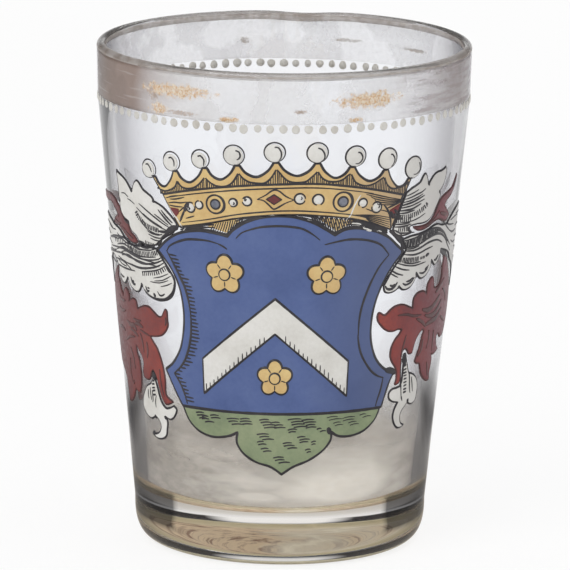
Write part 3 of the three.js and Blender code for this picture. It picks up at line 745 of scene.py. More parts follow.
def foot_row(angle):
    """Radius and height of the rounded foot, from the ring it stands on to the wall."""
    return (
        CONTACT_RADIUS + (FOOT_RADIUS - CONTACT_RADIUS) * math.sin(angle) ** FOOT_SQUARENESS,
        FOOT_HEIGHT * (1 - math.cos(angle) ** FOOT_SQUARENESS),
    )


def lip_row(angle):
    """Radius and height of the lip, from its outside to its inside."""
    return (
        RIM_RADIUS - WALL_AT_RIM / 2 * (1 - math.cos(angle)),
        HEIGHT - LIP_ROUND * (1 - math.sin(angle)),
    )


def inside_corner():
    """Rows down the end of the inside wall and round the corner to the inner floor."""
    top = BASE_THICKNESS + INSIDE_CORNER
    inside = float(outer_radius(np.array(top))) - WALL_AT_BASE
    return [(inside, top)] + [
        (inside - INSIDE_CORNER * (1 - math.cos(angle)), top - INSIDE_CORNER * math.sin(angle))
        for angle in angles(CORNER_ROWS)
    ]


def inside_wave(height):
    """How far the inside of the wall wanders, least near the lip and the floor."""
    above = height - BASE_THICKNESS - INSIDE_CORNER
    ease = min(1, (HEIGHT - height) / WAVE_EASE) * min(1, above / WAVE_EASE)
    wave = 0.1 * np.sin(3 * TURN + 1.1 + height * 0.03) + 0.05 * np.sin(7 * TURN + 2 - height * 0.05)
    return ease * wave if above > 0 else 0


def make_glass():
    """The tumbler, from the middle of the underside up the outside, over the lip and down inside."""
    outside = kick_rows() + [foot_row(0)] + [foot_row(angle) for angle in angles(FOOT_ROWS)]
    outside += stretch(outside[-1], (NECK_RADIUS, NECK_HEIGHT), WALL_ROWS)
    outside += stretch(outside[-1], lip_row(0), LIP_EDGE_ROWS)
    lip = [lip_row(angle) for angle in angles(LIP_ROWS, math.pi)]
    corner = inside_corner()
    inside = lip[-2:] + stretch(lip[-1], corner[0], INSIDE_ROWS) + corner[1:]
    inside += stretch(inside[-1], (0, BASE_THICKNESS), FLOOR_ROWS)
    rings = [ring(*row) for row in outside + lip[:-2]]
    rings += [ring(radius + inside_wave(height), height) for radius, height in inside]
    Skin().add(rings).piece("glass_tumbler", CLEAR_GLASS, "clear_glass", ["glass_body"])


def make_foot_wear_and_light():
    """The scratched and stained underside with its painted light, as a thin layer in the face of the glass.
    """
    rows = kick_rows() + [(KICK_RADIUS + 2.5, 0), (KICK_RADIUS + 5.5, 0), (CONTACT_RADIUS, 0)]
    low, high = FOOT_LAYER_LIFTS
    for angle in angles(5, FOOT_LAYER_REACH):
        radius, height = foot_row(angle)
        rows.append((radius - FOOT_LAYER_INSET, height + low))
    rings = [ring(r, z + low) for r, z in rows] + [ring(r, z + high) for r, z in rows[::-1]]
    Skin().add(rings).piece("foot_wear_and_light", FOOT_WEAR_AND_LIGHT)


def make_inside_haze_and_shade():
    """The bloom and painted shade inside, as a thin layer on the inner floor and the lowest part of the wall.
    """
    corner = inside_corner()
    inside, corner_top = corner[0]
    share = (HAZE_SHADE_TOP - corner_top) / (HEIGHT - LIP_ROUND - corner_top)
    top = (inside + (RIM_RADIUS - WALL_AT_RIM - inside) * share, HAZE_SHADE_TOP)
    rows = [top] + stretch(top, corner[0], 10) + corner[1:]
    rows += stretch(rows[-1], (HAZE_SHADE_MIDDLE, BASE_THICKNESS), 8)
    rings = [
        ring(r - inset, z + lift)
        for (inset, lift), order in zip(HAZE_SHADE_LAYERS, (1, -1))
        for r, z in rows[::order]
    ]
    Skin().add(rings, closed=True).piece("inside_haze_and_shade", INSIDE_HAZE_AND_SHADE)


# Gilding and beads
GILT_LIFTS = (0.07, 0.02)
GILT_UNDER_BEADS = 0.5
GILT_INSIDE = 0.9
BEAD_STEPS = 18
BEAD_RINGS = [(1, -0.05), (1, 0.12), (0.93, 0.4), (0.78, 0.68), (0.52, 0.9), (0.25, 0.98), (0, 1)]
BEAD_RISE = 0.22


def make_gilding():
    """A thin shell round the outside of the lip, closed over its two edges."""
    heights = np.linspace(GILT_BOTTOM - GILT_UNDER_BEADS, GILT_TOP, 12)
    far, near = GILT_LIFTS
    rings = [on_wall(TURN, z, far) for z in heights] + [on_wall(TURN, z, near) for z in heights[::-1]]
    Skin().add(rings, closed=True).piece("gilt_band", WORN_GILDING_AND_SHADE, "worn_gilding", ["gilt_rim_band"])


def make_lip():
    """Gilding that runs on over the lip and a little way down inside."""
    rows = [(RIM_RADIUS, GILT_TOP, 1, 0)]
    for angle in [0, *angles(12, math.pi)]:
        across, up = math.cos(angle) * 2 / WALL_AT_RIM, math.sin(angle) / LIP_ROUND
        size = math.hypot(across, up)
        rows.append((*lip_row(angle), across / size, up / size))
    rows.append((RIM_RADIUS - WALL_AT_RIM, HEIGHT - LIP_ROUND - GILT_INSIDE, -1, 0))
    rings = [
        ring(radius + across * lift, height + up * lift)
        for lift, order in zip(GILT_LIFTS, (1, -1))
        for radius, height, across, up in rows[::order]
    ]
    Skin().add(rings, closed=True).piece("gilt_lip", WORN_LIP_AND_SHADE, "worn_gilding")


def add_bead(beads, theta, z, wide, high):
    """A drop of enamel with a round top and a slightly uneven edge."""
    turn = np.arange(BEAD_STEPS) / BEAD_STEPS * 2 * math.pi
    squash_a, squash_b = draw.uniform(-0.06, 0.06), draw.uniform(-0.06, 0.06)
    edge = 1 + squash_a * np.cos(2 * turn) + squash_b * np.sin(3 * turn)
    rings = []
    for share, lift in BEAD_RINGS:
        x = wide * share * edge * np.cos(turn)
        y = high * share * edge * np.sin(turn)
        points = on_wall(theta + x / float(outer_radius(np.array(z))), z + y, BEAD_RISE * lift)
        rings.append(points if share else points[:1])
    beads.add(rings)


def make_beads():
    beads = Skin()
    for i in range(BEAD_COUNT):
        theta = (i + draw.uniform(-0.09, 0.09)) / BEAD_COUNT * 2 * math.pi
        high = BEAD_RADIUS * draw.uniform(0.8, 0.98)
        add_bead(beads, theta, BEAD_MIDDLE + draw.uniform(-0.18, 0.1), high * draw.uniform(0.9, 1.02), high)
    beads.piece("beads", BEADS, "bead_enamel", ["bead_row"])


# Arms
# For each pearl its place, its radius, where the point of the coronet meets it in degrees, how much of
# its ring is filled, and the stroke along its shaded side in shares of the radius
PEARLS = [
    (-32.5, 90.6, 2.1, -45, 0.88, -0.3, 0.45, 0, 0.5, 0.35, 0.15, 0.5, -0.3),
    (-25.7, 93.2, 2.2, -65, 0.88, -0.2, 0.35, 0.1, 0.45, 0.4, 0.1, 0.4, -0.45),
    (-18.3, 94.6, 2.1, -62, 0.86, -0.2, 0.3, 0.1, 0.4, 0.45, 0, 0.45, -0.4, 0.4, -0.7),
    (-10.6, 96.1, 2.3, -72, 0.94, 0.2, 0.5, 0.5, 0.4, 0.65, 0, 0.5, -0.3, 0.3, -0.4),
    (-1.8, 97.1, 2.25, -82, 0.92, 0, 0.55, 0.3, 0.55, 0.6, 0.1, 0.6, -0.45, 0.4, -0.8),
    (7.3, 97, 2.3, -88, 0.95, 0, 0.5, 0.35, 0.35, 0.65, -0.15, 0.6, -0.65, 0.3, -0.85),
    (15.8, 95.8, 2.35, -107, 0.94, 0.15, 0.4, 0.4, 0.35, 0.65, -0.1, 0.5, -0.5, 0.2, -0.7, -0.05, -0.65),
    (23.7, 94.6, 2.4, -97, 0.96, 0.2, 0.4, 0.45, 0.35, 0.7, -0.1, 0.6, -0.5, 0.35, -0.8),
    (31.2, 91.7, 2.5, -112, 0.97, 0.6, 0.4, 0.7, 0.1, 0.75, -0.3, 0.5, -0.55, 0.2, -0.65, -0.05, -0.6),
]
PEARL_CLEARANCE = 0.1
TIP_WIDTH = 1
SCALLOP_DEPTH = 2.9
CIRCLET_TOP = [(-28.6, 85.3), (-20, 87.4), (-10, 89.1), (0, 89.9), (9, 89.8), (19, 88.2), (28.9, 85.7)]
CIRCLET_BOTTOM = [(25.8, 78.1), (17, 81.2), (8, 82.6), (0, 82.9), (-9, 81.9), (-17, 80), (-24.4, 78.4)]
LININGS = {
    "left": [[-17.6, 79.5, -13, 80.8, -9.2, 81.5], [-11, 80], [-12.6, 78.2]],
    "right": [[7.6, 82.2, 11, 81.9, 16.6, 80.8], [14.2, 79.9], [12.2, 78.9]],
}
RUBIES = {
    "coronet_ruby": [(-3.6, 86.4), (-1.9, 85.25), (-0.2, 86.4), (-1.9, 87.55)],
    "coronet_ruby_left": [(-26.6, 82.6), (-25.4, 80.2), (-24.2, 81.6), (-24.3, 82.6)],
    "coronet_ruby_right": [(25, 82.7), (26, 80.6), (27.4, 82.4), (27.9, 83.9)],
}
# Seed pearls, sapphires and roses are a place and a radius.
SEED_PEARLS = [
    (-21.1, 83.3, 1.1), (-18.9, 84.1, 0.9), (-10.9, 85.3, 0.9), (-7.8, 85.8, 1), (3.7, 86.6, 1.15),
    (7.7, 86.3, 1.2), (18, 85, 1), (21.5, 83.7, 1.2),
]
SAPPHIRES = {"left": (-15, 84.6, 2.1), "right": (13.3, 85.6, 2.2)}
SAPPHIRE_STONE = 0.45
STONE_RISE = 0.35
# Height at which the field of the shield ends and the ground begins
SHIELD_SPLIT = 36.6
# Each outline is a list of smooth stretches, as outline takes them.
FIELD = [
    [-12.4, 77.4, -11, 79, -8, 81, -4.5, 82.2, -1, 82.6, 3, 82.3, 7, 80.9, 10, 79.2],
    [11.8, 78, 14, 79.1, 17, 79.3, 21, 78.4, 25, 76.6, 28, 74.2],
    [30.2, 72.4, 27.4, 69.8, 24.8, 66, 22.9, 61.4, 22.2, 57, 22.5, 52.5, 24.2, 48.3, 27, 45.6],
    [30.3, 44.2, 29.2, 42.4, 28.2, 40],
    [27, SHIELD_SPLIT],
    [-26.2, SHIELD_SPLIT, -28, 39.2, -29.8, 42.2],
    [-31.1, 44.4, -28.5, 46.3, -26, 49.9, -24.7, 54.5, -24.4, 59, -25.2, 64, -27.4, 68.3],
    [-31.2, 72.2, -28.2, 74.8, -24.5, 76.9, -19.5, 78.1, -15, 77.9],
]
GROUND = [
    [-26.1, SHIELD_SPLIT],
    [26.6, SHIELD_SPLIT, 25.2, 33.9, 22.2, 31.7, 18.5, 30.8, 15, 31],
    [12.9, 32.2, 12.9, 30.2, 10.9, 27.8, 7.4, 25.7, 3.4, 24.2],
    [0.4, 22.4, -2.4, 24.1, -6.3, 25.2, -9.4, 27, -11.1, 29.4],
    [-10.9, 31.9, -13.5, 30.8, -17.5, 30.3, -21.4, 31.2, -24.3, 33.3],
]
# The upper edge of the chevron: its middle and top, half its span, how far it drops, and its width
CHEVRON_X, CHEVRON_TOP, CHEVRON_HALF, CHEVRON_DROP, CHEVRON_WIDTH = -1.5, 63.5, 18, 15, 8.2
ROSES = [(-13.2, 68.6, 4.6), (10.2, 68.6, 4.6), (-1.5, 45, 4.3)]
ROSE_PETALS = 5
ROSE_NOTCH = 0.3
ROSE_SEED_RADIUS = 1.3
MANTLING = {
    "left_leaf": [
        [-25, 78.9, -26.1, 80.1, -27.4, 81.2, -28.9, 82.3, -30.4, 82.9],
        [-31.6, 83.2, -32.2, 84.1, -33.7, 84.8, -35, 85.4, -35.9, 86.3, -36.7, 87, -37.5, 87, -38.5, 86],
        [-39.4, 84.2, -40.5, 85.3, -42, 86.5, -44, 87.2],
        [-46.2, 87.8, -45.9, 85, -45.8, 82, -45.5, 79.2, -44.6, 77.9, -43.3, 77.2],
        [-41.8, 76.9, -41.4, 75.6, -40.3, 74.7, -38.9, 74.1], [-37.9, 73.1, -36, 72.7, -33.8, 72.7],
        [-31.6, 73.2, -30.2, 74.4, -28.4, 75.6, -26.2, 76.9],
    ],
    "left_ribbon": [
        [-38.5, 72.7, -39.4, 73.6, -40.8, 74.2, -41.8, 75.2],
        [-42.3, 76.5, -43.8, 76.9, -45, 77.8, -46, 79.2, -47.6, 80.2, -49.4, 81.1, -52, 81.4, -56, 81],
        [-62, 80.4], [-62, 79.3, -56, 79.2, -52.5, 79.6, -50.4, 79.2, -48.6, 78.3],
        [-47.7, 77.4, -49, 76.8, -50, 76.2],
        [-50.9, 75.2, -49.4, 74.9, -47.8, 74.9, -46.2, 74.4, -44, 73.4, -42, 72.5, -40.2, 72.1],
    ],
    "left_scroll": [
        [-31.7, 72.2, -33.6, 72.2, -36, 72.1, -38.4, 71.8, -40.4, 71.5, -42.6, 71.8, -44.8, 72.7, -47, 73.9,
         -49, 74.3], [-50.9, 74.5, -54, 75.2, -60, 75.6],
        [-65.6, 74.6, -67.2, 70, -65.5, 64, -63, 58.5, -60.6, 63.2, -56.6, 66.6, -53, 66.6],
        [-50, 65, -49.7, 63.1, -48.6, 62, -46.8, 61.6],
        [-44.7, 63.4, -43.9, 62.1, -42.9, 61.3, -41.1, 60.8, -39.4, 61.2],
        [-38.1, 63, -37.4, 61.9, -36.3, 61, -34.2, 60.4, -32.1, 60.4, -29.7, 60.9, -27.9, 62.1, -26.8, 63.8,
         -26.7, 65.8, -28, 67.8, -29.7, 69.8],
    ],
    "left_foliage": [
        [-45.3, 57.7, -44.2, 58.3, -42.8, 58.8, -41.4, 58.4],
        [-41, 56.7, -39.7, 57.3, -37.8, 58, -35.8, 58, -34.2, 57.2, -32.7, 56.4, -31.6, 56.5],
        [-30.9, 57.5, -30.2, 58.4, -29.6, 58, -29.6, 56, -29.6, 54.6, -30.8, 52.9, -32.5, 51.9, -35, 51.4],
        [-36.3, 51.2, -35.3, 50.1, -33.9, 48.7, -32.8, 46.6, -32.1, 44.4, -31.7, 41.6, -31.8, 39,
         -31.3, 37.8], [-29.4, 36.9, -30.8, 36.2, -32.2, 36, -33.3, 37.3, -34.2, 39.6, -35, 42.1],
        [-36, 43.4, -36.9, 42.6, -37.6, 41.1, -38.8, 40.6, -40.2, 41, -40.6, 42.5, -40.1, 44.4, -41.1, 46.2],
        [-43.2, 47.8, -43.2, 46.4, -42.2, 44.6, -41.8, 41.8, -42, 39], [-43, 36.9, -44.2, 36.7],
        [-45.4, 37.2, -46.2, 36.4, -47.4, 34.8, -49.2, 33.7], [-51, 33.2, -51.6, 36, -52.6, 39],
        [-57.4, 41.6, -59.6, 47, -60.4, 53, -58.6, 58, -55, 62.4],
        [-51.2, 64.9, -51.6, 62.6, -50.9, 60.6, -50, 59.3],
        [-48.8, 58.2, -47.9, 60, -46.7, 60.5, -45.6, 60, -45, 58.8],
    ],
    "left_tassel": [
        [-36, 42.4, -36.7, 41, -37.6, 39.9, -39.4, 39, -40.7, 37.5, -41.7, 35.6, -41.8, 33.8, -40.4, 32.2,
         -38.3, 31.6], [-36.4, 32.5, -35.2, 31.8, -34.4, 30.6, -34.9, 29.3, -36.2, 28.4],
        [-38.4, 28, -36.4, 27.3, -34.2, 27.5, -32.6, 28.5, -32.1, 30.2, -31.8, 31.6],
        [-32.1, 32.9, -30.6, 32.6, -29.2, 33.5, -28.3, 35.2],
        [-29.2, 36, -30.6, 35.3, -32.2, 35.1, -33.8, 36.6, -34.8, 39.4],
    ],
    "right_leaf": [
        [26.5, 78.4, 27.7, 81.5, 29, 84.6],
        [29.6, 86, 31, 86.8, 32.6, 87.4, 33.8, 88, 34.6, 89.2, 35.3, 89.7, 36, 89],
        [36.9, 87, 37.6, 87.9, 38.6, 88.8, 40, 89.3, 42, 89.4],
        [43.7, 89.9, 44.2, 88.9, 43.9, 87.2, 43.2, 85.9],
        [42, 84.8, 42.3, 83.6, 42, 82.8, 40.8, 81.2, 39.6, 79.6, 38, 78.5, 36, 78.2, 34, 78.3],
        [31.8, 78.2, 31.5, 77.4], [32.4, 76.5, 30.2, 76.2, 28.2, 76.4, 26.8, 77.3],
    ],
    "right_ribbon": [
        [32.8, 77.7, 34.6, 77.5, 36.6, 77.5, 38.4, 77.9, 40, 79, 41.2, 80.7, 42.4, 82.3, 43.8, 83.1,
         46.4, 83.7, 49, 84.5], [51.4, 86.9, 50.8, 85, 49.6, 83.6, 48, 82.4, 46.2, 81.8],
        [45, 80.8, 46.2, 79.9],
        [48.2, 78.3, 47.2, 77, 45.2, 77.2, 43.2, 77.9, 41.2, 77.9, 39, 77.2, 36.8, 76.7, 34.6, 76.8],
    ],
    "right_scroll": [
        [29.4, 75.2, 32, 75.7, 35, 75.8, 38, 76.2, 40.4, 76.8, 42.4, 76.9, 44.6, 76.3],
        [47.8, 76, 50, 77.2, 54, 78.4, 60, 78.8],
        [65.6, 77, 67.2, 71, 65.4, 64, 63, 58.5, 60.4, 62.4, 56.4, 65.2, 53.6, 66.6, 51.4, 68.6, 48.4, 69.8],
        [45.4, 70.6, 45.3, 69.2, 44.3, 67.9, 42.9, 67.3],
        [41.3, 68.7, 41, 67.2, 39.8, 65.9, 38.3, 65.2, 36.8, 65.3],
        [35.4, 66.6, 35, 65.2, 33.8, 63.9, 32.3, 63.4, 30.9, 63.5],
        [29.8, 64.3, 28.3, 63.5, 26.6, 63.3, 25.4, 63.8], [25, 65.1, 26.5, 67.5, 28.1, 69.6, 30.9, 72.7],
    ],
    "right_foliage": [
        [23.8, 58, 24.1, 58.9, 24.9, 58.7, 25.7, 58.2, 26.5, 58.4, 27.6, 59.2, 28.8, 59.8, 30.4, 60, 32, 59.8,
         33.7, 59.1], [35.2, 58.5, 35.1, 59.9, 35.4, 61, 36.3, 61.7, 37.7, 62, 39.2, 61.8, 40, 61.4],
        [40.5, 60.9, 40.5, 62.9, 41.5, 64.2, 42.7, 64.5, 43.5, 63.8],
        [43.9, 61.9, 45.6, 61.6, 47.2, 62.2, 48.2, 63.8, 47.9, 66],
        [48.4, 68.5, 50.4, 67.6, 52.4, 65.4, 55, 62.4, 57.8, 58.6, 58.8, 54, 57, 50.4, 54.4, 48.8],
        [52, 48.8, 50.2, 50, 48.9, 49.4, 49.5, 47.6], [51.2, 46.2, 49.2, 45.6, 47.4, 45.6],
        [46.5, 46, 47, 44.8, 46.9, 43.2, 46.4, 41.6],
        [46.7, 39.8, 45.1, 39.9, 43.2, 40.8, 41.5, 42.3, 40.8, 43.8], [40.3, 44.8, 38.8, 45.1],
        [38.1, 45.7, 38.8, 47.2, 39.7, 48.9, 40.3, 50.9],
        [41, 52.3, 40.1, 52.7, 38.9, 52, 37.8, 50.9, 37.1, 49.3],
        [36.6, 47.8, 35.3, 47.9, 34.4, 48.9, 33.6, 49.3, 32.9, 48.7, 32.6, 46.8, 32.6, 44.6, 32.8, 42.6],
        [32.5, 41.5, 31.6, 41.2],
        [31.1, 41.4, 31.4, 42.9, 31, 44.9, 29.4, 46.9, 28.7, 48.4, 28.9, 50.4, 30, 52.1, 31.2, 53.1],
        [31.9, 54.1, 30.6, 54.3, 29.4, 54.1, 27.9, 54.2, 26.4, 54.8, 25.1, 55.9, 24.1, 57],
    ],
    "right_tassel": [
        [34, 47.9, 33.6, 46, 33.6, 43.6, 33.5, 41.8],
        [33, 40.6, 31.6, 40.4, 30.3, 40.3, 29.3, 39.5, 29.4, 38.3, 30.6, 37.4],
        [32.7, 36.9, 31.7, 35.5, 31.3, 33.7, 32, 32, 33.2, 30.9, 34.5, 30.7],
        [36, 31.1, 34.6, 31.7, 34, 33.2, 34.3, 34.4, 35.4, 35.4],
        [36.6, 36.3, 37.5, 35.8, 38.8, 35.7, 40, 36.5, 40.5, 38.8, 39.9, 41, 38.8, 42.1, 37.6, 42.8],
        [36, 43.3, 35.2, 45.2, 34.6, 46.8],
    ],
}
RED_PARTS = ("ribbon", "foliage")


def coronet_tips():
    """Left and right corner of the point under each pearl."""
    tips = []
    for x, y, radius, degrees, *_ in PEARLS:
        reach, angle = radius + PEARL_CLEARANCE, math.radians(degrees)
        x, y = x + reach * math.cos(angle), y + reach * math.sin(angle)
        tips.append(((x - TIP_WIDTH / 2, y), (x + TIP_WIDTH / 2, y)))
    return tips


def scallop(start, end):
    """The hollow curve between two points of the coronet."""
    (x, y), (x2, y2) = start, end
    return [
        (x + (x2 - x) * share, y + (y2 - y) * share - depth * SCALLOP_DEPTH)
        for share, depth in ((0, 0), (0.18, 0.62), (0.5, 1), (0.82, 0.62))
    ]


def crest_line():
    tips = coronet_tips()
    edge = []
    for (left, right), (following, _) in zip(tips, tips[1:]):
        edge += [[left], scallop(right, following)]
    return outline(*edge, *tips[-1], *to_corner(CIRCLET_TOP[::-1]))


def circlet_line(step=0.5):
    return outline(*to_corner(CIRCLET_TOP), *to_corner(CIRCLET_BOTTOM), step=step)


def rose_line(x, y, radius, steps=80):
    turn = np.arange(steps) / steps * 2 * math.pi
    reach = radius * (1 - ROSE_NOTCH * (1 - np.abs(np.cos(turn * ROSE_PETALS / 2))))
    return np.stack([x + reach * np.sin(turn), y + reach * np.cos(turn)], 1)


def chevron_line():
    left, right = CHEVRON_X - CHEVRON_HALF, CHEVRON_X + CHEVRON_HALF
    foot, inner_foot = CHEVRON_TOP - CHEVRON_DROP, CHEVRON_TOP - CHEVRON_DROP - CHEVRON_WIDTH
    return outline(
        (CHEVRON_X, CHEVRON_TOP), (left, foot), (left, inner_foot),
        (CHEVRON_X, CHEVRON_TOP - CHEVRON_WIDTH), (right, inner_foot), (right, foot),
    )


def make_coronet():
    enamel("coronet_circlet", GOLD, [circlet_line()])
    enamel("coronet_crest", GOLD, [crest_line()], spacing=0.9)
    for i, (x, y, radius, _, share, *_) in enumerate(PEARLS):
        line = ellipse(x - radius * (1 - share), y - radius * (1 - share), radius * share, radius * share)
        enamel(f"coronet_pearl_{i + 1}", WHITE, [line], STONE_RISE, radius * 0.5, 0.6)
    for side, corners in LININGS.items():
        enamel(f"coronet_lining_{side}", GOLD, [outline(*corners)], spacing=0.7)
    for i, (x, y, radius) in enumerate(SEED_PEARLS):
        line = ellipse(x, y, radius * 0.85, radius * 0.85, 20)
        enamel(f"coronet_seed_pearl_{i + 1}", WHITE, [line], STONE_RISE, radius * 0.8, 0.4)
    for name, corners in RUBIES.items():
        enamel(name, DEEP_RED, [outline(*corners, step=0.3)], 0.2, 0.3, 0.5)
    for side, (x, y, radius) in SAPPHIRES.items():
        stone = radius * SAPPHIRE_STONE
        line = ellipse(x, y, stone, stone, 20)
        enamel(f"coronet_sapphire_{side}", STONE, [line], 0.3, stone * 0.9, 0.4)


def make_shield():
    enamel("shield_field", BLUE, [outline(*FIELD)], spacing=1.5)
    enamel("shield_ground", GREEN, [outline(*GROUND)])
    enamel("charge_chevron", WHITE, [chevron_line()], 0.25)
    for i, rose in enumerate(ROSES):
        seed = ellipse(*rose[:2], ROSE_SEED_RADIUS, ROSE_SEED_RADIUS, 20)
        enamel(f"charge_rose_{i + 1}", GOLD, [rose_line(*rose), seed], 0.25, spacing=0.7)


def make_mantling():
    for name, part in MANTLING.items():
        material, slot = (RED, "red_enamel") if name.endswith(RED_PARTS) else (WHITE, "white_enamel")
        enamel(f"mantling_{name}", material, [outline(*part)])
    for side in MANTLING_STROKES:
        draw_mantling(side)


